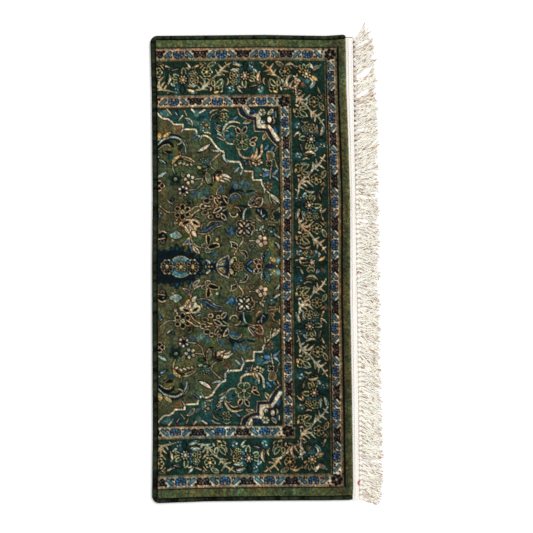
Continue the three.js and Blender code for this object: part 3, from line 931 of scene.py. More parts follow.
# The field's flowers, leaves and stems inside the stepped edge
FIELD_GROUND = """
cloud dry - 14/8 160,128 308,242 326,232 145,118
cloud rust - 4/4 293,237 158,119
cloud dry - 6/10 322,88 318,122 328,66
cloud band - 14/9 258,216 236,172 282,44
cloud moss - 16/12 290,171 262,96 235,135
cloud moss - 12/18 140,40 195,40 310,200
cloud fern - 18/6 262,42 285,52
cloud fern - 7/10 276,112 254,170 240,150 182,112
cloud umber - 6/6 212,172
"""
FIELD = """
line mist - 1.4/4/2 190,171 194,166 198,162.4
line mist - 3/1.6 184,166 188,157
line cream - 6/4/1 129,119 131,113 128,108
line cream - 5/6/3/1 124,113 130,118 137,124 143,130
line sage - 1.4 138,124 138,116 135,109
line cream - 3/1 146.6,133 147.4,124
line mist - 4.6/3/1 226,199 233,200 239,202.4
line mist - 3/1.2 254,225 257,217.6
line sky - 3/1.4 262,227 269.6,220.6
line mist - 2.6/1 286,238 289.4,231.6
line mist - 2/1 214,188 211,176
line mist - 4/3/2 216,192 215,185 210,180

line cream - 1.8/2 168,63 157,62.4
line cream - 2/1.8 156,62.4 142,61
line cream - 1.8/1 151,61 148,53
leaf dusk mist 4.6 156,62.6 148.4,70.6
bloom pool black 10.4/6/0/0.22 135.4,60
petals haze - 5.4/6/30/5.6/1.8 135.4,60
dot straw - 2/1.8 135.4,60
line mist - 1.8/4/1.2 130,56 125,52 120.6,49.4
line haze - 1.6/1 138,52 137,45
dot black - 5/3.4/20 126,37.6
line mist - 1.6/3.4/1 128,41 123.6,37 121.6,30.6
petals peach - 6.7/5/-4/7.4/7 151.6,44
dot teal - 2/1.8 151.6,44
area pine buff 1.5 121,70 124,77 132,80 137,85 134,91 131,97 126,97 121,101
dot pine - 6/8/0 126,87
comb buff - 7/2.8/1.5 142,77 124,75
comb sage - 5/2.4/1.3 141,72.6 128,71
line buff - 1.6 135,82 131,85 134,90 130,95
area ink - 0 162,99 156,101.4 149,100 143,95 140.6,86 142.6,79.6 148,80.4 153,83.6 158,88 161.6,92
line mist - 2/1.2 158.4,97.6 155.2,94
line mist - 1.4/2/1.2 152.6,97.6 152.8,93 151.8,88.4
line mist - 2/1.2 150.6,85.6 146.6,89
dot haze - 2.4/1.8 144,81.2
line peach umber 2/4/5/4.4/2 162.4,91.4 161,85.4 158.4,81 153.6,78.6 148,76.4
line umber - 1 160.6,86 157.6,83 152.6,80.4
dot umber - 9/5/0 140,104 156,121
area ink - 0 194,104.6 186,102.6 180,101 174,103 168,104.6 172,107 180,106 188,106.6
area ink - 0 190,100 185.4,99 184.6,86 189,84 192,92
area pine - 0 178,99 171,98 168.6,92 171,86 177,83 182,82 181,90
line mist - 1.6/2.2/2.2/1.8 178.3,99.6 181.8,94.6 183,88.8 183.6,80.6
line cream - 1.8/2/1.8/2/1.6 207.4,92.4 204.8,87.4 200.2,85.6 195.6,86.6 193.2,91
line black - 1.2/2/1.2 204,91 200.4,88 196,89.4
area bronze black 1 208,108 203,107 200,103 203,97.4 207,98 209.6,103
line cream - 1.6/1.8/1.4 199,102.6 192.4,101.2 188.6,95.6
area blue black 1.2 217,65 209,63.6 204,71.6 199,66.4 193,69 194.6,61 193,55 199,55.6 204,50.4 \
207.6,57 213,59
line haze - 1.8/1.2 213,64.4 206,62
line haze - 1.8/1.2 203.6,69 202,63.6
line haze - 1.8/1.2 203.4,52.6 202,58.6
dot sky - 1/0.8 197.6,60 200,64
dot cream black 8.5 189.4,73.4 174.6,73.4 189.4,58.6 174.6,58.6
dot cream - 11.4 182,66
dot ink - 5.6 189.6,73.6 174.4,73.6 189.6,58.4 174.4,58.4
dot ink - 7.6 182,66
petals haze - 13/8/22/2.4/2 182,66
petals cream - 8/4/0/4/2.2 182,66
petals ivory - 8/4/45/9/3.6 182,66
dot umber - 2.2 182,66
line cream - 1.6/1.2 172,74 164,76
line cream - 1.6/1.4/1.6 170,73 165,67 170,54
line buff - 1.4 165,71 164,60
line cream - 1.6/1.8/2/1.6 184.5,51 184.5,44 192,33 199,21
line mauve - 1.4/1.6/1.6/1.4 183.6,43.6 178,36.6 174,30.6 169.6,25
line cream - 1.6/1.2 173,44.4 164,44
dot rust - 2.6/2.4 175.4,38
area green taupe 1 172,37.6 167.6,38.4 164.4,35.4 167.4,32.6 172,34
area black cream 1.4 209.5,48 206.8,44.5 200.4,42.8 194.6,39.9 192.8,35 193.4,29 199.2,31.5 205,32.5 \
207.4,27 205,34 204.4,38.2 206.2,41.7
dot haze - 2/1.8 198.6,38
line taupe - 1.4/1 163,33 159,27
area black cream 1.4 191,28.6 184,28.6 178.3,26.4 175.6,22 174.6,16.6 176.6,13 179.6,16 182,20.6 \
186,25
line cream - 1.2/1.2/1 189.4,26 184.6,22 181,17 180.4,12.6
leaf green black 9/-1 147,5 139.6,28.6
line mist - 1/1.6/1.4 146,20 143.4,24.8 139.8,28.4
line mist - 1.4/1 152.7,20.7 149.2,16.7
line haze - 1/2/1 186,18 183,13.4

area cream gold 1.3 295,73 287,80.6 277,83 268,82 259,78 257,70 263,67 265,61 271,58 276,57 281,60 \
285,66 289,70
leaf black - 5.4 288,73.4 276.6,79.6
leaf black - 5.4 271.6,79 260.6,71.6
leaf moss - 3 281.6,71 277,63
leaf fern - 3.4 272,72 269,64
line white - 2/1.4 284,70 279,63
line white - 2/1.4 276,72 273.6,60
line black - 1.2/1 280,75 274,78
area ivory taupe 1.2 272,62 266,61 262.6,50.6 269,52.6 273,57
line cream - 1.6/2/2/1.6 275,56 272,45 265,36.6 251,31
area navy cream 1.4 288,38 281,38.4 275.4,40.6 276,51 281.6,46
dot blue - 3/3.2 278.6,44
area pool cream 1.3 276,38.6 275,28.4 271.6,28 268.6,33 271,40.6
dot blue - 2/2.6 273,32
leaf dusk cream 7/1 270,36.4 258.4,23
dot black cream 4.8/4.6 251,36.4
dot haze - 1.8/1.4 251,37
dot haze cream 5.6/5.2 244.6,28.6
dot taupe - 2.4/2.2 244.6,28.6
area black straw 1.6 247.8,53.8 242.6,55.2 238.6,50 239.4,43 243,37.4 247.2,40
area black straw 1.6 245.6,34 240,39.8 232,41.2 225.6,39.8 224.4,34.4 229,32.6 234,30.4 241,29.2
line haze - 3/2 236.4,57 237,48
dot sage umber 3.8/4.2 228.6,47.4
line black - 2.4/1 225,53 223.4,45
dot taupe black 2.4/2 221.6,37.4
line buff - 1.4/1.6/1.4 262.6,58 250,56.4 240,60 231,68 219,70.6
line dusk - 1/6.6/6/5/5/1 260,60 249,62 240,66.4 231,72 223,75.6 217,73
line dusk - 4.4/2.4/1 250,64 249.6,69 249,73
line dusk - 3.4/1 239,68 238,74.6
line sky - 1/1.8/1.6/1 256,61 247,62.6 238,68.6 226,74
line black - 1/1.6/1 247,66.6 240,71 233,75.6
line buff - 1.3 256,66 254,73 249,75
line buff - 1.3 245.4,71 239.6,77.4 228,78.6 220,77
area ice cream 1.3 311,55 303,59.6 299,64 293,58 289,54 296,49 304,50
line haze - 1.2 304,55 297,56
dot sage umber 3/4.6 305,46.6
area black - 0 330,56 325,60 318,58 314,53 316,46 322,38 327,42
dot haze - 2.2/1.4/20 321,54.4
dot navy taupe 4.6/3.6/60 322.6,44.6
line cream - 1.4/2.2/1.4 330,48 325,48.6 318,50
line cream - 1/2/1.4 330,58 323,62 316,59
dot black buff 6.2/5.2/90 288,103.4 288,85.8
dot black buff 5.4/4.8 296.8,100 296.8,89.2 279.6,99.4 279.6,89.8
dot teal black 4/3 305,115.6 311,113
line peach - 1/2/1 315,116 311,112 305,108
dot sage - 4/3.8 288,94.6
dot moss - 1.4 288,94.6
line pale - 2/2/1.6 327,105 316,96 308,94
line pale - 1.6 308,94 300,94.6
line cream - 1.4/2.4/1.4 297,83 300,76 301,71
dot taupe - 3.6/3 300,76
line cream - 1.6/2/1.8/1.6 281.6,93.6 273,98.6 266,103.4 258,104
line black - 2.4/2 273,82 262,99
line cream - 1.6/2/1.6 274.6,84 269,92 257.4,100
leaf black haze 7/1 268,88 254.6,81.6
line mist - 1/1.6/1 266,87 260,85 256,83
area ink - 0 236,90 233,104 235,119 226,124 212,123 207,112 211,100 210,86 216,80 230,82
dot pine buff 6/4.8/0 253,104
dot ink buff 6.6/5.4/0 246.6,113.6
dot pine twig 7/4.6/-10 249.6,93
dot ink buff 5/4 240,86
dot ink buff 4.6/4.2 239,119
line peach - 2.4/2/1 249.4,105 244,104 240,104
line ivory - 1.6/1 244,104.4 239.4,103.6
line straw - 2/2.4/1 245,97.6 241.6,99.4 236,100
dot rust - 1.6/3 236.4,104
leaf black cream 8/1 233.4,119.8 223,104.8
line ivory - 1/1.4/1 229,115 226,110.6 223.4,107.6
leaf black cream 7.6/-2 219,122 210.4,107.4
line cream - 1.6 231,104 221,103.4 211,103.4
leaf black cream 8/-1 235.4,92.4 220,101.8
line sage - 1.8/2/1 219,95.6 212,99.6 207,101
leaf black cream 7.6/1 221.4,92 212.4,80.4
dot ink buff 4/3.6 227,88 225.6,120.8
dot sage - 2.4/1.6 222,111.4
dot bronze - 6/5/0 207,103
leaf dusk - 6/1 228,126 215,141
line buff - 1.3/1.6 229.6,124 228,132 221,139.6
line buff - 1.6/2.2/1.6 209,117 203,124.6 195,126.6
line buff - 1.6/1.8 195,126.6 188.6,122 187,117
leaf dusk - 8/1 208,117.6 190.6,121.6
line haze - 1.2/2/1 204,120 199,122.4 194,122.4
area ink - 0 210,126 206,134 200,140 198,131 203,125
dot dusk - 4.4/7 197,140
dot haze - 1/3/20 197,142 194,138
dot dusk - 9/4/20 182,142
leaf haze - 4/1 190,134 183,149.6
line haze - 1/2.6/1 180,147 175,143 171,139
line teal - 1.4/3/1.4 189,138 180,137 172,135
leaf ink - 8/-1 199,130 181,127
leaf ink - 7/-1 179,127.4 160.6,128
leaf dusk - 3/1 192,130 183,127
line haze - 1/2.4/1 176,126 167,127 161,129
area pool peach 1.4 176,107 174,113 170,118 166.7,121.3 164,116 161,112 163,108 168,105 172,104
line mist - 1/1.4/1 173,109 169,112.6 166.4,116
area umber peach 1.4 149.8,118.4 155,119 161,117 163,111 160,106 165,102 157,101.5 152,105 150,111
dot black - 2/1.6/30 158,114 153,111 160,106
dot cream - 1.4/1.2 163.7,113
line cream - 1.4/1.8/1.4 171.3,101.6 166.7,103.3 159.7,102.7
line taupe - 2/1 163,119 167,123
dot black - 8.6/8.4 275.8,150.4
petals cream - 6.5/5/4/5.8/5.4 275.8,150.4
dot pool - 2.4 275.6,150.4
dot black - 9.6/9.2 286.6,131
petals ivory - 6.8/6/25/6.8/6.4 286.6,131
petals white - 6.8/6/25/3.4/2.6 286.6,131
dot black - 3/2.8 286,131
dot peach - 1.4/1 288,122.6 283.6,123.4
petals pine - 7.6/5/18/11/8.4 300.6,150.6
dot ink - 7/6 300.6,150.6
dot sage - 2.8 300,151
dot moss - 1.2 300,151
leaf fern taupe 6/-1 290,163 286,154
area moss - 0 304,178 300,186 288,190 276,187 268,181 272,172 288,172
line gold - 3/5.4/5/2.4 304.6,176 302,184 296,189 288,190.4
line buff - 3/3/2.4/1.4 290,190 281,189 273,185.6 266,180
line black - 1.6/2.4/2/1.2 301,178 294,184.6 284,184.4 272,179.6
line buff - 1.4/1.8/1 285,186 277,183 270,180
dot peach - 2.8/2/30 299,175.4 273,176
dot cream - 3.4/1.8/-20 292,178.6 285,177.6 279,175.6
line sage - 1.6/2/1.6 304.6,175 304,168 301,161
line buff - 1.2 290,190 292,199
line ink - 2/5/5/4/1 330,213 318,223.6 303,227.4 289,222 281,209
line mist - 1.4/3/3/2.4/2/1.6 330,211 319,220.6 303,224.4 291,220 283,209 281.6,198
line ink - 1/3/3/1 318,217 304,220.4 294,216 288,208
line taupe - 1/2/1 288,223 281,214 279,205
line black - 2/5/5/4/2 330,206 321,213.6 311,215.2 305,211 303.4,206
line cream - 1.2/1.4/1.2 329,202.6 320,209.6 311.6,211 308,207
dot rust - 1.6/2.6/20 297,212
dot pine - 4/8/20 291,207
line sage - 1.4/2.4/1 296,211 290,214 287.6,220
leaf gold - 6.4/1 322,224 307,234
leaf gold - 8/1 330,218 327,232
leaf mist black 7.6/1 263,196.6 237.6,211.6
leaf white - 5.6/1 261,199 240,211
line pale - 2.2/2.2/2/2/2 221,196 230,188.6 238,180.6 245,170 248,160
line pale - 2/2.2/1.8 248,160 253,153 266,150.6
line pale - 1.4/1.8/1.4 239.6,180 237,170.6 230,165.6
line pale - 1.8/2/1.6 253,152.6 256,141 266,133
line pale - 1.8/1.4 266,133 279,132
area teal pine 1.2 261,181 254,186.6 248,184.4 242,191.6 240,181.6 249,177.6
dot mist - 1/0.8 256,184 251.6,187 247.4,183 253,181 244,185
dot haze black 9/3.6 250,172.6
dot sage - 4/2.2/20 258.6,171
dot fern black 6.4/4 256.4,162
leaf bronze taupe 11/-1 246,163 243,142
leaf haze - 4/0 245,156 243,146
line buff - 1.2 248,158 246,147 240,141
leaf black - 4 244,141.6 234,140.6
line buff - 1.3/1.6/1.3 219,160 219.6,165 229,163.6
line buff - 1.3/1.6/1.3 229,163.6 234.6,155 234,145.6
leaf black - 4.4 232,161 219,164
line black - 3.6/3 232.4,158 231.6,149
area peach umber 1.1 230,158 222,160 214,156 220,150 224,146 230,149
line ivory - 3.4/5.4/1.4 222,157 213,156.6 203,151.4
line ivory - 2/3/1 217,152 211,151 206,147
line ivory - 2/2.6/1.4 223,149 219,148 216,146
line black - 1 218,154.4 208,151.6
dot gold - 2.4/2 221.6,155
dot black - 2.6/1.8 226,156.4
dot haze - 7/5/20 256,122
bloom haze pool 6.6/5/0/0.2 246.6,129
dot teal - 3.4 247,129
dot haze - 3 262,127
leaf dusk - 5.6/1 276,121 263,132
dot pine - 6/5 275,110
line taupe - 1.4/2/1.4 280,116 274,113 271,105
line taupe - 1.4/1 283,109 272,107
line black - 2/1 277,108 270,112
dot black - 9/3.6 314,197.6
dot mist black 3.4/3 328.6,190
line taupe - 1.6 321,200 312,193.6
dot pool - 7/4/-20 308,189
leaf haze black 8/1 331,186 313,178
line mist - 1/2/1 328,184 322,183 317,178
leaf mist pine 8/1 335,153 313,165.6
bloom black cream 9.6/4/0/0.2 328,140
leaf pool - 6/0 331,84 321,92
dot mist - 2.4/1.6/20 325.6,92.4
leaf sky - 3/0 327,91 327,84
leaf pool - 5 239,24 233,16
area navy cream 2 229.6,-4 229,4.6 227.2,8.8 223.8,12.6 219.4,15.8 213,18.6 208.6,20.6 207,12 207,-4
"""

# The middle of the field: what the mirror line cuts through
MIDDLE = """
area ink - 0 345,21 331,24 318,21 306,26 297,29 287,25 276,21 266,16 258,12 254,6 254,-6 266,-16 \
297,-29 345,-21
leaf ink - 10/1 327,14 334,32
leaf ink - 10/-1 324,14 317,31
leaf ink - 10/1 302,16 309,35
leaf ink - 11 297,18 298,40
leaf ink - 10/-1 292,18 287,35
leaf ink - 9/1 283,16 276,32
leaf ink - 9/-1 276,12 266,25
leaf ink - 9/1 270,10 258,20
leaf ink - 8/-1 266,6 251,13
leaf pool - 5/1 328,18 332,29
leaf pool - 5/-1 323,16 319,27
leaf dusk - 2.4/1 303,22 307,32
leaf pool - 5 297,22 298,36
leaf dusk - 2/-1 291,23 288,32
leaf pool - 4/1 283,18 278,29
leaf pool - 4/1 268,11 261,18
leaf dusk - 2.4 265,7 255,11
leaf teal - 2/1 264,2 257,1
leaf pool - 5/1 340,16 333,8
leaf dusk - 3/1 318,20 330,12
leaf pool - 5/-1 330,6 338,1
dot lake sage 19.6/19 291.4,0
line blue - 2/1.6 285,15 284.4,9
line haze - 1.2 291,17 291,10
line blue - 2/1.6 297,15 298,9
dot ink frost 13.4/11/90 314.6,0
dot ink frost 13.6/10.6/90 270.6,0
petals pale - 7.4/10/18/7/1.4 314.6,0 270.6,0
petals pale - 11/6/90/3/1.2 314.6,0 270.6,0
dot straw - 3.8/2.8/90 314.6,0
dot gold - 4/2.8/90 270.6,0
bloom buff sage 10/8/0/0.12 291.4,0
dot straw - 3 291.4,0
line mist - 1.4 327,17 323,8
area ink - 0 251,-4 250.6,4 248.6,7 250,13.6 243,13.4 238.6,9 236,5 232,11.6 229.6,9.4 232,3 231,-3
line mist - 2.4/3.8/3.8/2.6 246.8,11.4 244.2,9.8 241.8,7.4 241.8,5.8
line mist - 2.4/2.8/3 244.4,4.6 247.2,3 248.2,-1
leaf sky - 2.8/0.4 235.4,5.6 231.4,10.6
dot gold - 2.3/2 242.6,0
dot pale - 1.1 237.2,0 234,1.8
dot dusk - 2.2/4/10 233,21.8
area black straw 1.4 226,2.6 223.8,6.6 218.6,10.4 214,11 215.6,6.4 220.4,3
line haze - 1.4/1.8/1 225,1.6 218,2.4 212,6
line dusk - 1.4/1.8/1 223.4,10 218,13.4 212,15.4
leaf bronze - 2 223,5 215.4,10
dot pine - 6/10/0 202,9
leaf mist straw 6/0 206.6,3 201,15
line sage - 1.8 201,15 197,15.6 195,9
bloom sage gold 9.6/8/0/0.1 192,0
dot navy gold 4/3.6 193.5,0
line mist - 1.6/1 180,19 181,10
line blue black 5/8.6/5 180,-1 173,5.6 165.6,11.4
line sky - 1/2.4/1 178,1 173,6 167,10.6
dot black peach 4.4/4.4/0 161.5,8.2
dot black peach 5/5/0 156.5,0
line ivory - 1.2 167,12 158,12.6 153,9
line peach - 1.4 152,3 151,11
leaf teal pine 10/1 148,4 137.6,30
line mist - 1.4/2/1.4 151,9 153,20 150,23
line sage - 1.4 143,27 139.6,30
dot straw moss 5.4/5 131.8,10.4
dot moss - 1.4 131,10.4 134,8.4
dot straw umber 3/3 137.6,6 136,14.4
dot ice haze 4/6.2 123.6,11
dot navy - 9/4.4 138,0
dot gold - 2/2 125.5,0
dot pool - 3/2 130,2
"""


GUARD_CORNER = """
bloom black - 10.6/7/30/0.24 0,0
dot black - 2/1.8 11.6,9 -11,-9.4
dot mauve - 1.4/1.2 4.6,2 -1,4.8 -4.4,-3 2,-5
dot twig - 2.4/2.2 0,0
"""
GUARD_FLOWERS = 11
# Where the outer edge of each guard border lies, its steps and its stretches
GUARDS = """
outer_s outer_v end_pitch side_pitch end_width side_width
20.4    373.6   36.6      37.7       0.92      0.98
102.6   291.9   35.5      38.1       0.92      0.98
"""
# Start and two axes of the main border's cells and flower heads
CELLS = (((0, 0), (1, 0), (0, 1)), ((0, 214), (1, 0), (0, -1)), ((0, 434), (1, 0), (0, -1)),
         ((-47, 394), (0, -1), (1.03, 0)), ((397, 394), (0, -1), (-1.03, 0)),
         ((176.5, 394), (0, -1), (1.03, 0)))
HEADS = (((0, 0), (1, 0), (0, 1)), ((134, 324), (-1, 0), (0, -1)),
         ((281.5, 260), (0, 1), (-1, 0)), ((180, 394), (0, -1), (1, 0)))


def guard_flower(brush, number):
    """Blue flower with its leaves at odd numbers, dark flower at even ones."""
    if number % 2:
        brush.draw(BLUE_FLOWER)
        brush.draw(GUARD_LEAVES)
    else:
        brush.draw(DARK_FLOWER)


def guard_border(cloth, outer_s, outer_v, end_pitch, side_pitch, end_width, side_width):
    """Flowers of a guard border, blue and dark by turns, away from its corner both ways. The
    pitches are the steps from flower to flower, the widths stretch them across the border."""
    count = round(outer_v / end_pitch)
    for k in range(-1, GUARD_FLOWERS):
        if k < count:
            start = (outer_s, outer_v - 8 - (count - k) * end_pitch)
            guard_flower(Brush(cloth, start, (end_width, 0), outlined=False), count - k)
        if k > 0:
            start = (outer_s + 8.4 + k * side_pitch, outer_v)
            guard_flower(Brush(cloth, start, (0, -side_width), (1, 0), outlined=False), k)
    Brush(cloth, (outer_s + 7, outer_v - 7), outlined=False).draw(GUARD_CORNER)


def main_border(cloth):
    """The border's cells and flower heads up the end, round the corner and along the side."""
    for start, along, across in CELLS:
        scroll = BORDER_SCROLL if along[0] else BORDER_SCROLL.replace("cream", "buff")
        brush = Brush(cloth, start, along, across)
        brush.draw(BORDER_SHADE)
        brush.draw(scroll)
        Brush(cloth, start, along, across, outlined=False).draw(scroll)
        brush.draw(BORDER_CELL)
    for place in HEADS:
        Brush(cloth, *place).draw(BORDER_HEAD)
    Brush(cloth).draw(BORDER_CORNER)


def mottle(shape, size, seed):
    """Smooth random field between -1 and 1: values on a coarse grid, eased between them; size
    gives the grid's step in cells each way."""
    random = np.random.default_rng(seed)
    coarse = random.uniform(-1, 1, tuple(int(n / step) + 3 for n, step in zip(shape, size)))
    place = [np.arange(n) / step for n, step in zip(shape, size)]
    first = [p.astype(int) for p in place]
    share = [p - f for p, f in zip(place, first)]
    share = [t * t * (3 - 2 * t) for t in share]
    i, j = first[0][:, None], first[1][None, :]
    a, b = share[0][:, None], share[1][None, :]
    top = coarse[i, j] * (1 - a) + coarse[i + 1, j] * a
    return top * (1 - b) + (coarse[i, j + 1] * (1 - a) + coarse[i + 1, j + 1] * a) * b


def weavers_cartoon():
    """Colours of the upper and the lower half of the design, each on a fine grid whose first
    index runs along s and second along v."""
    shape = (int(CARTOON_REACH / CARTOON_CELL), int(CARTOON_HALF / CARTOON_CELL))
    s, v = np.meshgrid(*((np.arange(n) + 0.5) * CARTOON_CELL for n in shape), indexing="ij")
    cloth = np.zeros(shape + (3,))
    for band in rows(BANDS):
        within = (s > band["start_s"]) & (v < band["start_v"])
        on_side = (s - band["start_s"]) > (band["start_v"] - v)
        cloth[within] = dye(band["end_dye"])
        cloth[within & on_side] = dye(band["side_dye"])
    step = np.array([tuple(map(float, p.split(","))) for p in STEPPED_EDGE.split()])
    corner = np.vstack([FIELD_CORNER, step, (CARTOON_REACH, FIELD_CORNER[1])])
    field = (s > FIELD_CORNER[0]) & (v < FIELD_CORNER[1])
    teal_corner = field & inside(s, v, corner)
    for guard in rows(GUARDS):
        guard_border(cloth, **guard)
    main_border(cloth)
    brush = Brush(cloth)
    brush.draw(FIELD_GROUND)
    cloth[teal_corner] = dye("spandrel")
    brush.draw(SPANDREL)
    brush.draw(STRAP)
    brush.bars(step + (1.2, -1.2), (2.2,), "haze", "-")
    brush.bars(step, (2.8,), "frost", "-")
    brush.draw(FIELD)
    brush.draw(MIDDLE)
    Brush(cloth, (0, 0), (1, 0), (0, -1)).draw(MIDDLE)
    lower = cloth.copy()
    Brush(cloth).draw(MIDDLE_HEAD)
    Brush(lower, (0, 0), (1, 0), (0, -1)).draw(MIDDLE_HEAD)
    return cloth, lower


# ---------------------------------------------------------------- the carpet's own sizes
GAP = 0.3
BASE_TOP = 3.4
BASE_BOTTOM = 0.2
SELVAGE = (1.6, 4.2)
WEB_TOP = 2.6
TAPE_THICKNESS = 1.8
OVERCAST_TOP = 8.5
OVERCAST_WIDTH = {"cut": 9.6, "side": 8.0}
SELVAGE_INSET = 4.0
CORNER_RADIUS = 13.0
PILE_SHOULDER = (1.6, 2.2)
KNOT_ROW_WIDTH = 5.4
TASSEL_COUNT = 94
KNOT_ROW = (-395.0, 394.0)
TAPE_ENDS = (-398.5, 397.0)
TASSEL_STRAY = {"reach": 1.8, "reach_turn": 2.4, "bend": 1.1, "bend_turn": 1.7}

# The edges wander a little from straight
CUT_EDGE = """
y     x
-390  -170.6
-290  -169.5
0     -170.7
125   -169.7
300   -171.3
390   -173.8
"""
PILE_END = """
y     x
-400  174.2
-377  175.4
-245  173.7
-141  172.0
-55   170.3
117   170.3
237   166.3
306   163.7
400   162.0
"""
TOP_EDGE = """
x     y
-160  400.6
25    402.3
128   400.5
160   402.7
"""
BOTTOM_EDGE = """
x     y
-160  -404.7
-78   -401.6
25    -400.3
128   -399.8
175   -398.9
"""
FRINGE = """
y     knot   tip    slant
-395  188.9  223.0  -20
-375  188.8  228.0  -22
-330  188.4  229.5  -24
-240  187.6  228.5  -18
-120  186.2  225.5  -14
0     184.4  224.0  -4
120   182.6  222.5  -8
190   181.4  221.5  10
260   180.3  220.0  26
340   178.9  217.5  35
380   178.3  211.0  42
394   178.0  201.5  48
"""
# How far the weaving strays upwards from the even design, as its lower half was beaten tighter
STRAY = """
v     lift
-392  0
-386  1.4
-361  2.2
-323  3.2
-285  3.2
-262  2.4
-240  1.6
-58   1.4
-20   0
60    -0.5
200   -0.3
300   0
"""


def reader(table, by, column):
    """Function that reads one column of a table, straight between its rows."""
    entries = rows(table)
    stations, values = [e[by] for e in entries], [e[column] for e in entries]
    return lambda place: np.interp(place, stations, values)


cut_x = reader(CUT_EDGE, "y", "x")
pile_end_x = reader(PILE_END, "y", "x")
top_y = reader(TOP_EDGE, "x", "y")
bottom_y = reader(BOTTOM_EDGE, "x", "y")
knot_x = reader(FRINGE, "y", "knot")
tip_x = reader(FRINGE, "y", "tip")
slant_at = reader(FRINGE, "y", "slant")
stray_at = reader(STRAY, "v", "lift")


def eased(share):
    """Share held between 0 and 1 and eased at both ends."""
    t = np.clip(share, 0, 1)
    return t * t * (3 - 2 * t)


def web_end_x(y):
    """Where the web under the tape ends, just short of the row of knots."""
    return knot_x(y) - KNOT_ROW_WIDTH / 2 - GAP


# ---------------------------------------------------------------- knotted pile
PILE_REST_X = 170.3
WANDER_REACH = 305.0
WANDER_KEPT = 0.7
MIDDLE_LIFT = (4.5, 1.9)
PILE_HALF = 391.9
KNOT_PITCH = 1.25
SEAM = (98.0, 295.5)
SHOULDER_STEPS = (0.0, 0.35, 0.85, 1.5, 2.4)
# How far from the middle line the long edges begin to lead the design, and over how much
EDGES_LEAD = (150.0, 250.0)
EDGES_WIDEN = (300.0, 100.0)
DESIGN_WIDTH = 800.0
# Scallops of the fringed end: how deep, how fast along the edge and where in their swing
SCALLOPS = ((0.35, 0.83, 0), (0.3, 0.37, 1))

# Spread of each unevenness of the dye, in knots along both ways, and its depth
DYE_LOTS = (((1.6, 1.6), 0.36), ((3.2, 3.2), 0.14), ((9, 9), 0.12), ((2.2, 70), 0.07),
            ((9, 34), 0.07))
KNOT_UNEVENNESS = 0.08
# Painted sheen: the pile lighter towards the upper side; painted shade: darker towards the lower side
PAINTED_UPPER_SHEEN = 0.08
PAINTED_LOWER_SHADE = 0.03
HALF_WIDTH = 400.0
# The first knots by the fringe are paler, and the border of that end is deeper
PALE_END = {"paler": 0.55, "over": 4.0}
DEEP_END = {"by": 0.07, "up_to": 140.0, "over": 60.0, "less": 0.6, "upwards": 200.0}
# The borders of the lower side are a little lighter, and bluer
LOWER_BORDERS = {"from": 262.0, "to": 384.0, "start": 100.0, "lighter": 0.05}
BLUER = (0, 0.09, 0.15)
WARMER = (1, -0.2, -0.9)


def design_on_carpet(s, v):
    """X and Y of a place in the design: it follows the wandering end of the pile near the
    fringe, and the two long edges near them, and lies a little above the middle between."""
    wander = pile_end_x(v) - PILE_REST_X
    x = PILE_REST_X + wander * (1 - WANDER_KEPT * s / WANDER_REACH) - s
    top, bottom = top_y(x), bottom_y(x)
    lift = MIDDLE_LIFT[0] - MIDDLE_LIFT[1] * np.clip(s / WANDER_REACH, 0, 1.2)
    outwards = eased((np.abs(v) - EDGES_LEAD[0]) / EDGES_LEAD[1])
    middle = lift * (1 - outwards) + (top + bottom) / 2 * outwards
    share = np.clip((np.abs(v) - EDGES_WIDEN[0]) / EDGES_WIDEN[1], 0, 1)
    widening = 1 + ((top - bottom) / DESIGN_WIDTH - 1) * share
    return x, v * widening + middle + stray_at(v)


def reach_of_pile(v):
    """How far the pile runs from its fringed end to the overcast cut edge."""
    wander = pile_end_x(v) - PILE_REST_X
    edge = cut_x(v) + OVERCAST_WIDTH["cut"] + GAP
    return (PILE_REST_X + wander - edge) / (1 + WANDER_KEPT * wander / WANDER_REACH)


def evenly(start, end):
    """Stations about one knot apart, both ends included."""
    return np.linspace(start, end, int(round((end - start) / KNOT_PITCH)) + 1)


def bilinear(cloth, s, v):
    """Colour of the cartoon at each place, eased between its cells."""
    i = np.clip(s / CARTOON_CELL - 0.5, 0, cloth.shape[0] - 1.001)
    j = np.clip(v / CARTOON_CELL - 0.5, 0, cloth.shape[1] - 1.001)
    i0, j0 = i.astype(int), j.astype(int)
    a, b = (i - i0)[..., None], (j - j0)[..., None]
    near = cloth[i0, j0] * (1 - b) + cloth[i0, j0 + 1] * b
    far = cloth[i0 + 1, j0] * (1 - b) + cloth[i0 + 1, j0 + 1] * b
    return near * (1 - a) + far * a


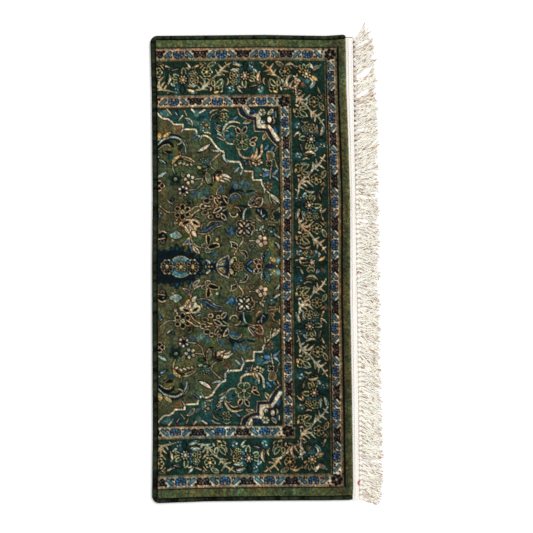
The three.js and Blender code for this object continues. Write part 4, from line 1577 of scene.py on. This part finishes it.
def knot_colours_with_shading(s, v):
    """Dye of every knot: the cartoon mirrored on the middle line, uneven from dye lot to dye
    lot along the wefts, from knot to knot, lightened towards the upper side by painted sheen
    and darkened towards the lower side by painted shade, and bluer and lighter in the borders
    of the lower side."""
    halves = [bilinear(half, s, np.abs(v)) for half in weavers_cartoon()]
    colours = np.where((v < 0)[..., None], halves[1], halves[0])
    uneven = sum(mottle(s.shape, step, 40 + number) * depth
                 for number, (step, depth) in enumerate(DYE_LOTS))
    random = np.random.default_rng(39)
    # painted sheen lightens the knots towards the upper side, painted shade darkens them towards the
    # lower side
    uneven += (random.normal(0, KNOT_UNEVENNESS, s.shape) + PAINTED_UPPER_SHEEN * eased(v / HALF_WIDTH)
               - PAINTED_LOWER_SHADE * eased(-v / HALF_WIDTH))
    upwards = 1 - DEEP_END["less"] * eased(v / DEEP_END["upwards"])
    near_end = eased((DEEP_END["up_to"] - s) / DEEP_END["over"])
    uneven += (PALE_END["paler"] * np.exp(-s / PALE_END["over"])
               - DEEP_END["by"] * near_end * upwards)
    lower = (eased((-v - LOWER_BORDERS["from"]) / 25) * eased((v + LOWER_BORDERS["to"]) / 12)
             * eased((s - LOWER_BORDERS["start"]) / 50))
    colours = colours * np.exp(uneven + LOWER_BORDERS["lighter"] * lower)[..., None]
    warmth = mottle(s.shape, (5, 30), 55) * 0.07 + mottle(s.shape, (14, 14), 56) * 0.07
    for amount, tint in ((lower, BLUER), (warmth, WARMER)):
        colours = colours * (1 + amount[..., None] * tint)
    return linear(np.clip(colours, 0.02, 1))


def knot_heights(s, v, reach):
    """Height of the pile: its top less a quarter-round shoulder near its edges, with a soft
    swell of the cloth and each tuft a little longer or shorter than the next."""
    out, down = PILE_SHOULDER
    edge = np.minimum(np.minimum(s, reach - s), PILE_HALF - np.abs(v))
    short = np.clip(1 - edge / out, 0, 1)
    random = np.random.default_rng(51)
    tufts = random.normal(0, 0.16, s.shape)
    swell = mottle(s.shape, (34, 34), 52) * 0.25
    return PILE_TOP - 0.25 - down * (1 - np.sqrt(1 - short ** 2)) + tufts + swell


def ring_of(corners, cols):
    """Points of a grid met on the way round the given corner points, along its lines."""
    ring = []
    for (i0, j0), (i1, j1) in zip(corners, corners[1:] + corners[:1]):
        steps = max(abs(i1 - i0), abs(j1 - j0))
        ring += [(i0 + (i1 - i0) * k // steps) * cols + j0 + (j1 - j0) * k // steps
                 for k in range(steps)]
    return np.array(ring)


def pile_part(name, points, kept, corners, colours, material):
    """Part of the pile as a closed body: the kept faces of the knot grid, walls down from
    their rim and a flat underside."""
    shape = points.shape[:2]
    faces, spots = grid_faces(*shape)
    top, top_spots = faces[kept.ravel()], spots[kept.ravel()]
    ring = ring_of(corners, shape[1])
    used, places = np.unique(top, return_inverse=True)
    top = places.reshape(top.shape)
    upper = np.searchsorted(used, ring)
    lower = len(used) + np.arange(len(ring))
    foot = points.reshape(-1, 3)[ring] * (1, 1, 0) + (0, 0, BASE_TOP + GAP / 2)
    everything = np.concatenate([points.reshape(-1, 3)[used], foot])
    walls = np.stack([upper, lower, np.roll(lower, -1), np.roll(upper, -1)], -1)
    cap = lower[::-1][None, :]
    step = 1 / len(ring)
    around = np.arange(len(ring)) * step
    wall_spots = np.stack([np.stack([np.full(len(ring), u), around + ahead], -1)
                           for u, ahead in ((0.972, 0), (0.978, 0), (0.978, step),
                                            (0.972, step))], -2)
    i, j = np.divmod(ring, shape[1])
    cap_places = np.stack([i / (shape[0] - 1), j / (shape[1] - 1)], -1)
    cap_places = cap_places[::-1] * (0.013, 1) + (0.985, 0)
    spot_sets = [top_spots * (0.965, 1), wall_spots, cap_places[None]]
    piece = make_piece(name, (everything, [top, walls, cap], spot_sets), material,
                       ["carpet"])
    shades = colours.reshape(-1, 3)
    add_shades(piece, "knot_dye_and_shading", np.concatenate([shades[used], shades[ring]]))
    return piece


def knotted_pile(material):
    """Knotted pile on a grid of knots, in two parts that meet on a dark line of the border:
    x and y follow the design's place on the carpet, z the height of the tufts."""
    steps = np.array(SHOULDER_STEPS)
    side = np.concatenate([evenly(SEAM[1], PILE_HALF - steps[-1])[1:-1],
                           PILE_HALF - steps[::-1]])
    middle = evenly(-SEAM[1], SEAM[1])
    v_line = np.concatenate([-side[::-1], middle, side])
    first = np.concatenate([steps[:-1], evenly(steps[-1], SEAM[0])])
    typical = reach_of_pile(0.0)
    rest = np.concatenate([evenly(SEAM[0], typical - steps[-1])[1:-1], typical - steps[::-1]])
    share = (rest - SEAM[0]) / (typical - SEAM[0])
    v = np.broadcast_to(v_line, (len(first) + len(rest), len(v_line)))
    reach = reach_of_pile(v)
    s = np.concatenate([np.broadcast_to(first[:, None], (len(first), len(v_line))),
                        SEAM[0] + share[:, None] * (reach[:1] - SEAM[0])])
    x, y = design_on_carpet(s, v)
    scallop = sum(depth * np.sin(y * pace + swing) for depth, pace, swing in SCALLOPS)
    x = x + scallop * eased(1 - s / 8)
    points = np.stack([x, y, knot_heights(s, v, reach)], -1)
    colours = knot_colours_with_shading(s, v)
    last_i, last_j = len(points) - 1, len(v_line) - 1
    i0, j0 = len(first) - 1, len(side)
    j1 = last_j - len(side)
    kept = np.zeros((last_i, last_j), bool)
    kept[i0:, j0:j1] = True
    field = pile_part("pile_field", points, kept,
                      [(i0, j0), (i0, j1), (last_i, j1), (last_i, j0)],
                      colours, material)
    border = pile_part("pile_border", points, ~kept,
                       [(0, 0), (0, last_j), (last_i, last_j), (last_i, j1), (i0, j1),
                        (i0, j0), (last_i, j0), (last_i, 0)],
                       colours, material)
    return field, border


# ---------------------------------------------------------------- foundation
BASE_Y = (-394.5, 394.5)
# Two close stations at each step of the foundation, as shares of its way from the cut edge
# to the knots and of its way up the width
SELVAGE_STEP = (0.011, 0.013)
WEB_STEP = (0.957, 0.9575)
LOWER_STEP = (0.004, 0.0045)
UPPER_STEP = (0.9955, 0.996)


def foundation(material):
    """Woven foundation under the pile: a flat sheet whose edges rise into the overcasting as
    its selvage, and which runs out under the heading tape as its web."""
    a = np.concatenate([[0, *SELVAGE_STEP], np.linspace(0.05, 0.95, 48), [*WEB_STEP, 1]])
    b = np.concatenate([[0, *LOWER_STEP], np.linspace(0.02, 0.98, 130), [*UPPER_STEP, 1]])
    a, b = np.meshgrid(a, b, indexing="ij")
    y = BASE_Y[0] + (BASE_Y[1] - BASE_Y[0]) * b
    x = cut_x(y) + SELVAGE_INSET + (web_end_x(y) - cut_x(y) - SELVAGE_INSET) * a
    low, high = bottom_y(x) + SELVAGE_INSET, top_y(x) - SELVAGE_INSET
    y = low + (high - low) * b
    selvage = (a <= SELVAGE_STEP[0]) | (b <= LOWER_STEP[0]) | (b >= UPPER_STEP[1])
    web = a >= WEB_STEP[1]
    upper = np.where(web, WEB_TOP, np.where(selvage, SELVAGE[1] - 0.3, BASE_TOP))
    lower = np.where(selvage & ~web, SELVAGE[0], BASE_BOTTOM)
    body = closed_sheet(np.stack([x, y, upper], -1), np.stack([x, y, lower], -1))
    return make_piece("foundation", body, material, ["carpet"])


# ---------------------------------------------------------------- overcasting
YARN_PITCH = 2.7
YARN_STEP = 0.55
YARN_GROOVE = 0.085
YARN_LEAN = 0.9
OVERCAST_AROUND = 20
OVERCAST_SQUARENESS = 2.7
OVERCAST_END = 4.5
# Dark and light yarn colours, mixed by random tone and by painted light and shade
OVERCAST_DYE_AND_SHADING = ((10, 12, 9), (54, 62, 43))


def overcast_route():
    """Middle line of the overcasting and its half width, evenly spaced: from the fringed end
    along the top, round the cut edge with its two quarter-circle corners, and back."""
    half_side, half_cut = OVERCAST_WIDTH["side"] / 2, OVERCAST_WIDTH["cut"] / 2
    radius = CORNER_RADIUS - half_cut
    turn = np.linspace(0, np.pi / 2, 12)
    pieces = []
    for side, edge in ((1, top_y), (-1, bottom_y)):
        corner_y = edge(cut_x(side * 385)) - side * (half_side + radius)
        corner_x = cut_x(corner_y) + half_cut + radius
        end_x = pile_end_x(side * 391) + 0.6
        line_x = np.linspace(end_x, corner_x, 60)[:-1]
        line = np.stack([line_x, edge(line_x) - side * half_side,
                         np.full_like(line_x, half_side)], -1)
        arc = np.stack([corner_x - radius * np.sin(turn),
                        corner_y + side * radius * np.cos(turn),
                        half_side + (half_cut - half_side) * turn / turn[-1]], -1)
        pieces.append(np.concatenate([line, arc]))
    upper, lower = pieces
    y = np.linspace(upper[-1, 1], lower[-1, 1], 80)[1:-1]
    cut = np.stack([cut_x(y) + half_cut, y, np.full_like(y, half_cut)], -1)
    route = np.concatenate([upper, cut, lower[::-1]])
    length = np.concatenate([[0], np.cumsum(np.hypot(*np.diff(route[:, :2], axis=0).T))])
    even = np.linspace(0, length[-1], int(length[-1] / YARN_STEP))
    return even, np.stack([np.interp(even, length, column) for column in route.T], -1)


def overcasting(material):
    """Yarn wound over the edge: a squared oval carried along the route. Its outline is
    |x/half|^n + |z/half|^n = 1, it sinks into a groove once in each turn of the yarn, at
    a phase of length / pitch + lean * angle / 2 pi, and it rounds off at both ends."""
    length, route = overcast_route()
    heading = np.gradient(route[:, :2], axis=0)
    heading /= np.hypot(*heading.T)[:, None]
    outwards = np.stack([heading[:, 1], -heading[:, 0]], -1)
    angle = np.linspace(0, 2 * np.pi, OVERCAST_AROUND, endpoint=False)
    power = 2 / OVERCAST_SQUARENESS
    across = np.sign(np.cos(angle)) * np.abs(np.cos(angle)) ** power
    height = np.sign(np.sin(angle)) * np.abs(np.sin(angle)) ** power
    phase = length[:, None] / YARN_PITCH + YARN_LEAN * angle / (2 * np.pi)
    random = np.random.default_rng(61)
    turns = random.normal(0, 1, int(length[-1] / YARN_PITCH) + 4)
    turn = phase.astype(int)
    groove = YARN_GROOVE * (1 - np.abs(np.sin(np.pi * phase)) ** 0.7)
    swell = 1 - groove + 0.018 * turns[turn] * np.abs(np.sin(np.pi * phase))
    from_end = np.minimum(length, length[-1] - length)
    rounding = np.sqrt(1 - np.clip(1 - from_end / OVERCAST_END, 0, 0.985) ** 2)[:, None]
    half_height = OVERCAST_TOP / 2 - 0.05
    reach = route[:, 2:3] * across * swell * rounding
    rings = np.stack([route[:, 0:1] + outwards[:, 0:1] * reach,
                      route[:, 1:2] + outwards[:, 1:2] * reach,
                      half_height * (1 + height * np.minimum(swell, 1) * rounding) + 0.1], -1)
    piece = make_piece("overcasting_yarn", closed_tubes(rings[None]), material,
                       ["overcasting"])
    patches = np.convolve(turns, (0.6, 0.9, 0.6), "same")
    upwards = outwards[:, 1:2]
    # Painted light: the yarn along the upper side lighter than along the lower side, and across the
    # yarn its outer half lighter on the upper side and darker on the lower side
    share = 0.48 + 0.14 * turns[turn] + 0.14 * patches[turn] + 0.06 * upwards
    share = share + (0.04 + 0.18 * upwards) * across
    shade = mixed_dye(*OVERCAST_DYE_AND_SHADING, share)
    # Painted shade: darker in the grooves between the turns and on the inner side towards the pile
    painted_groove_shade = (1 - 5 * groove) * (1 - 0.6 * eased((-across - 0.45) / 0.3))
    shade = shade * painted_groove_shade[..., None]
    add_shades(piece, "yarn_dye_and_shading", shade.reshape(-1, 3))
    return piece


# ---------------------------------------------------------------- heading tape
TAPE_STEP = 0.6
TAPE_RIB = 1.5


def heading_tape(material):
    """Flat cotton tape: x runs from the pile to the knots in even shares, y along it, and z
    has a rib once in every pitch and a low rolled edge on both sides."""
    y = np.linspace(*TAPE_ENDS, int((TAPE_ENDS[1] - TAPE_ENDS[0]) / TAPE_STEP))
    share = np.concatenate([[0, 0.015], np.linspace(0.06, 0.94, 12), [0.985, 1]])
    share, y = np.meshgrid(share, y)
    near, far = pile_end_x(y) + GAP - 0.1, web_end_x(y)
    x = near + (far - near) * share
    x = x + 0.25 * np.sin(y * 0.71) * eased(share * 3 - 2)
    low = WEB_TOP + GAP
    rib = np.abs(np.sin(np.pi * y / TAPE_RIB)) ** 0.8
    rolled = np.sqrt(np.clip(1 - (np.abs(share - 0.5) * 2) ** 14, 0, 1))
    swell = 0.25 * np.sin(y * 0.05) * np.sin(np.pi * share)
    z = low + 0.5 + (TAPE_THICKNESS - 0.75) * rolled + 0.16 * rib + swell * 0.5
    body = closed_sheet(np.stack([x, y, z], -1), np.stack([x, y, 0 * x + low], -1))
    return make_piece("heading_tape_cloth", body, material, ["heading_tape"])


STITCH_AROUND = 6
STITCH_ROWS = """
share  pitch  length  thick  lift
0.36   3.4    3.3     0.9    0.1
0.82   3.9    2.6     0.5    0.0
"""


def tape_stitches(material):
    """Two rows of running stitches on the tape: each stitch is a short thread that dips into
    the cloth at both ends, at z = thickness * sin(pi * t)."""
    t = np.linspace(0, 1, 7)
    angle = np.linspace(0, 2 * np.pi, STITCH_AROUND, endpoint=False)
    rings = []
    for number, row in enumerate(rows(STITCH_ROWS)):
        start = np.arange(TAPE_ENDS[0] + 2, TAPE_ENDS[1] - 4, row["pitch"])
        random = np.random.default_rng(70 + number)
        shift = random.normal(0, 0.18, (len(start), 1))
        y = start[:, None] + row["length"] * t + random.normal(0, 0.12, (len(start), 1))
        near, far = pile_end_x(y) + GAP, web_end_x(y)
        x = near + (far - near) * row["share"] + shift
        z = WEB_TOP + GAP + TAPE_THICKNESS + row["lift"] - 0.45 + 0.5 * np.sin(np.pi * t)
        width = row["thick"] / 2 * (0.35 + 0.65 * np.sin(np.pi * np.clip(t, 0.02, 0.98)))
        ring = np.stack([x[..., None] + width[:, None] * np.cos(angle),
                         np.broadcast_to(y[..., None], y.shape + angle.shape),
                         np.broadcast_to(z[:, None] + 0.7 * width[:, None] * np.sin(angle),
                                         y.shape + angle.shape)], -1)
        rings.append(ring)
    return make_piece("tape_stitches", closed_tubes(np.concatenate(rings)), material)


# ---------------------------------------------------------------- knotted fringe
STRANDS = 12
STRAND_STATIONS = 11
STRAND_AROUND = 4
STRAND_FLATNESS = 0.55
UNDERLAYER = 3
STRAND_DYE_AND_SHADING = ((255, 255, 244), (164, 106, 38))
# Each for the strands underneath, then for those above them: the spread of their turns in
# degrees and of their curl, and their share of the wave
STRAND_SPREAD = (6.0, 11.0)
STRAND_CURL = (1.4, 6.0)
STRAND_WAVE = (0.4, 1.0)
TASSEL_SPREAD = 12.0
# At both ends of the row the tassels hang straighter: past this place, easing in over this
# much before it
ROW_END = (385.0, 40.0)


def tassel_roots():
    """Index, Y and X of every tassel's knot."""
    index = np.arange(TASSEL_COUNT)
    y = KNOT_ROW[1] - index * (KNOT_ROW[1] - KNOT_ROW[0]) / (TASSEL_COUNT - 1)
    return index, y, knot_x(y)


def tubes_along(path, radius, around, flatness=1.0):
    """Rings round many paths, (paths, stations, 3), which lie mostly level: each ring spans
    the level direction square to the path, and the upward one, flattened by a share."""
    heading = np.gradient(path, axis=1)
    flat = np.stack([-heading[..., 1], heading[..., 0]], -1)
    flat /= np.hypot(flat[..., 0], flat[..., 1])[..., None] + 1e-9
    angle = np.linspace(0, 2 * np.pi, around, endpoint=False)
    level = radius[..., None] * np.cos(angle)
    rise = radius[..., None] * np.sin(angle) * flatness
    return np.stack([path[..., 0:1] + flat[..., 0:1] * level,
                     path[..., 1:2] + flat[..., 1:2] * level,
                     path[..., 2:3] + rise], -1)


def mixed_dye(pale, deep, share):
    """Dye part of the way from the pale one to the deep one."""
    pale, deep = (linear(np.array(shade) / 255) for shade in (pale, deep))
    return pale + (deep - pale) * np.clip(share, 0, 1)[..., None]


# Where the fringe is browner: the place along it, how far it reaches, how much
BROWNER_PLACES = ((375, 7, 1.0), (357, 8, 0.9), (330, 6, 0.3), (288, 13, 0.9), (225, 8, 0.3),
                 (170, 6, 0.3), (135, 9, 0.8), (60, 12, 0.3), (-393, 12, 0.7))


def fringe_strands(material):
    """Loose strands: each leaves its tassel's knot at its own angle, bends to one side as
    curl * t^2, waves across its way as wave * sin(2 pi n t + phase), and lies lower towards
    its tip. The first few of a tassel are straighter and lie underneath, tan as painted shade
    beneath the upper strands."""
    random = np.random.default_rng(81)
    index, root_y, root_x = tassel_roots()
    shape = (TASSEL_COUNT, STRANDS, 1)
    index, root_y, root_x = (a[:, None, None] for a in (index, root_y, root_x))
    under = (np.arange(STRANDS) < UNDERLAYER)[None, :, None]
    t = np.linspace(0, 1, STRAND_STATIONS)
    shortfall = TASSEL_STRAY["reach"] * (1 - np.sin(index * TASSEL_STRAY["reach_turn"]))
    reach = (tip_x(root_y) - root_x - shortfall) * random.uniform(0.55, 1.0, shape) ** 0.5
    freedom = 0.35 + 0.65 * eased((ROW_END[0] - np.abs(root_y)) / ROW_END[1])
    turn = slant_at(root_y) * 0.9
    turn = turn + random.normal(0, TASSEL_SPREAD, (TASSEL_COUNT, 1, 1)) * freedom
    spread = random.normal(0, 1, shape) * np.where(under, *STRAND_SPREAD)
    turn = np.radians(turn + spread * freedom)
    curl = random.normal(0, 1, shape) * np.where(under, *STRAND_CURL)
    wave = random.uniform(0.8, 2.8, shape) * np.where(under, *STRAND_WAVE) * np.sin(
        2 * np.pi * (t * random.uniform(0.8, 2.4, shape) + random.uniform(0, 1, shape)))
    place = random.uniform(-1, 1, shape)
    slant = np.tan(np.clip(turn, -0.95, 0.95))
    x = root_x + 1.6 + (reach - 1.6) * t + 0.5 * wave * t
    y = root_y + slant * reach * t + curl * t ** 2 + wave * np.sqrt(t)
    y = y + place * (1.8 + 2.0 * t) * (1 - 0.4 * eased((root_y + 20) / 120))
    layer = np.where(under, 0.0, random.uniform(0.15, 1, shape))
    z = 0.75 + layer * (2.6 - 1.7 * t) + 0.1 * wave
    radius = np.where(under, 0.8, 1.15 - 0.4 * t) * random.uniform(0.8, 1.2, shape)
    path = np.stack(np.broadcast_arrays(x, y, z), -1).reshape(-1, STRAND_STATIONS, 3)
    radius = np.broadcast_to(radius, (TASSEL_COUNT, STRANDS, STRAND_STATIONS))
    rings = tubes_along(path, radius.reshape(-1, STRAND_STATIONS), STRAND_AROUND,
                        STRAND_FLATNESS)
    piece = make_piece("fringe_strands", closed_tubes(rings), material,
                       ["fringe"])
    # Painted shade: the strands underneath tan as the shade beneath the upper ones; a few strands tan
    # at random
    tan = np.where(under, 0.75, 0.0) + 0.4 * (random.random(shape) < 0.07)
    browner = sum(amount * np.exp(-((root_y - middle) / width) ** 2)
                 for middle, width, amount in BROWNER_PLACES)
    tan = tan + browner * random.uniform(-0.3, 0.9, shape)
    # Painted shade: tan flecks along the strands, and each strand's sides and underside tan with its
    # top white
    fleck = random.uniform(0.5, 1.4, shape) * (random.random(radius.shape) < 0.12)
    sides = np.array([0.14, -0.3, 0.14, 0.8])
    share = (tan + fleck)[..., None] + sides
    add_shades(piece, "yarn_dye_and_shading", mixed_dye(*STRAND_DYE_AND_SHADING, share.reshape(-1)))
    return piece


KNOT_AROUND = 10
KNOT_STATIONS = 9
KNOT_LENGTH = 7.2
KNOT_WIDTH = 7.0
KNOT_DYE_AND_SHADING = ((255, 255, 247), (166, 118, 66))
LOOP_LENGTH = 5.5
# Colours of the loops that stand in for the shadow in the gap between two knots
LOOP_SHADOW_COLOURS = ((228, 204, 168), (66, 32, 10))


def fringe_knots(material):
    """Row of knots: each is a fat oval of yarn drawn in at both ends, grooved by its wraps,
    and turned with the sweep of its tassel, with tan painted shade in its grooves and drawn-in
    ends. A short brown loop lies between two knots as painted shadow in the gap between them."""
    index, root_y, root_x = tassel_roots()
    random = np.random.default_rng(91)
    t = np.linspace(0, 1, KNOT_STATIONS)
    angle = np.linspace(0, 2 * np.pi, KNOT_AROUND, endpoint=False)
    turn = np.radians(slant_at(root_y) * 0.6 + random.normal(0, 8, TASSEL_COUNT))
    size = random.uniform(0.9, 1.1, TASSEL_COUNT)[:, None, None]
    along = (t - 0.45)[None, :, None] * KNOT_LENGTH * size
    belly = np.sqrt(np.clip(1 - (np.abs(t - 0.5) * 2) ** 2.4, 0.03, 1))[None, :, None]
    groove = 1 - 0.12 * np.abs(np.sin(np.pi * (2.6 * t[:, None] + angle / (2 * np.pi))))
    width = KNOT_WIDTH / 2 * size * belly * groove
    across = width * np.cos(angle)
    rise = 2.35 + 2.15 * belly * groove * np.sin(angle) * np.minimum(size, 1.04)
    c, s = np.cos(turn)[:, None, None], np.sin(turn)[:, None, None]
    x = root_x[:, None, None] + along * c - across * s
    y = root_y[:, None, None] + along * s + across * c
    knots = np.stack(np.broadcast_arrays(x, y, rise), -1)
    stain = random.uniform(0, 0.5, (TASSEL_COUNT, 1, 1))
    stain = stain * eased((root_y[:, None, None] - 100) / 150)
    # Painted shade: tan in the grooves of the wraps and at the drawn-in ends, on top of the stain
    deep = np.clip((1 - groove) * 1.1 + (1 - belly) * 0.4 + stain, 0, 1)
    knot_dye_and_shading = mixed_dye(*KNOT_DYE_AND_SHADING, np.broadcast_to(deep, x.shape))
    between = (root_y[1:] + root_y[:-1])[:, None] / 2
    between = between + random.normal(0, 0.4, between.shape)
    from_pile = (t - 0.5) * LOOP_LENGTH
    loop_x = knot_x(between) - 1.2 + from_pile
    loop_y = between + 0.35 * from_pile * np.sin(index[1:, None] * 2.1)
    loop_z = 3.2 - 0.05 * from_pile ** 2
    thick = np.sqrt(np.clip(1 - (2 * t - 1) ** 2, 0.08, 1)) * (
        random.uniform(0.7, 1.4, between.shape))
    path = np.stack(np.broadcast_arrays(loop_x, loop_y, loop_z), -1)
    loops = tubes_along(path, thick, KNOT_AROUND)
    # Painted shadow: the loop between two knots dark brown, darker towards the upper end
    brown = eased((between[:, 0] - 60) / 220) * 0.8 + random.uniform(-0.1, 0.3, len(loops))
    loop_shadow_colour = mixed_dye(*LOOP_SHADOW_COLOURS, brown)
    piece = make_piece("fringe_knots", closed_tubes(np.concatenate([knots, loops])), material,
                       ["fringe"])
    loop_shadow_colour = np.repeat(loop_shadow_colour, KNOT_STATIONS * KNOT_AROUND, axis=0)
    add_shades(piece, "yarn_dye_and_shading", np.concatenate([knot_dye_and_shading.reshape(-1, 3), loop_shadow_colour]))
    return piece


RED_DYE = (178, 60, 56)
RED_THREADS = """
x      y       length  turn  thick
186.2  -369.0  10.5    76    1.5
184.9  -6.4    4.5     40    1.0
"""


def red_threads(material):
    """Short ends of red thread caught in the row of knots, on the line of their turn."""
    t = np.linspace(-0.5, 0.5, 7)
    paths, radii = [], []
    for thread in rows(RED_THREADS):
        turn, length = np.radians(thread["turn"]), thread["length"]
        bow = 0.9 * np.cos(2 * np.pi * t)
        paths.append(np.stack([thread["x"] + length * t * np.cos(turn) - bow * np.sin(turn),
                               thread["y"] + length * t * np.sin(turn) + bow * np.cos(turn),
                               6.2 - 9 * t ** 2], -1))
        radii.append(thread["thick"] * np.sqrt(1.05 - 4 * t ** 2))
    rings = tubes_along(np.array(paths), np.array(radii), 8)
    piece = make_piece("red_threads", closed_tubes(rings), material)
    shades = np.tile(linear(np.array(RED_DYE) / 255), (rings[..., 0].size, 1))
    add_shades(piece, "yarn_dye_and_shading", shades)
    return piece


# ---------------------------------------------------------------- the whole carpet
add_camera()
add_surroundings()
WOOL_NAP, PLAIN_WEAVE = wool_nap_group(), plain_weave_group()
wool = cloth_material("knotted_wool", WOOL_NAP, {}, 0.0009, 0.0, "knot_dye_and_shading")
edge_yarn = cloth_material(
    "overcast_wool", WOOL_NAP, {"Tuft Size": 0.0009, "Tuft Shade": 0.2}, 0.0004, 0.0, "yarn_dye_and_shading")
loose_cotton = cloth_material(
    "fringe_cotton", WOOL_NAP, {"Tuft Size": 0.0006, "Tuft Shade": 0.0, "Fibre Shade": 0.08},
    0.0001, 0.9, "yarn_dye_and_shading")
loose_cotton.node_tree.nodes["Principled BSDF"].inputs["Sheen Tint"].default_value = (
    1, 0.9, 0.72, 1)
tape_cotton = cloth_material(
    "tape_cotton", PLAIN_WEAVE,
    {"Dye": plain_dye(255, 253, 248), "Soil": plain_dye(226, 208, 182), "Warp Pitch": 0.0009,
     "Weft Pitch": 0.0012, "Soiling": 0.12, "Depth": 0.06}, 0.0003, 0.0)
stitch_cotton = cloth_material(
    "stitch_cotton", PLAIN_WEAVE,
    {"Dye": plain_dye(214, 182, 152), "Soil": plain_dye(180, 146, 116), "Soiling": 0.3},
    0.0002, 0.0)
ground_weave = cloth_material(
    "foundation_cotton", PLAIN_WEAVE,
    {"Dye": plain_dye(188, 170, 138), "Soil": plain_dye(120, 102, 76), "Warp Pitch": 0.0016,
     "Weft Pitch": 0.0012, "Soiling": 0.5, "Depth": 0.4}, 0.0005, 0.0)
field, border = knotted_pile(wool)
base = foundation(ground_weave)
edging = overcasting(edge_yarn)
tape = heading_tape(tape_cotton)
stitches = tape_stitches(stitch_cotton)
strands = fringe_strands(loose_cotton)
knots = fringe_knots(loose_cotton)
threads = red_threads(loose_cotton)

scene = bpy.context.scene
scene.view_settings.view_transform = "Standard"
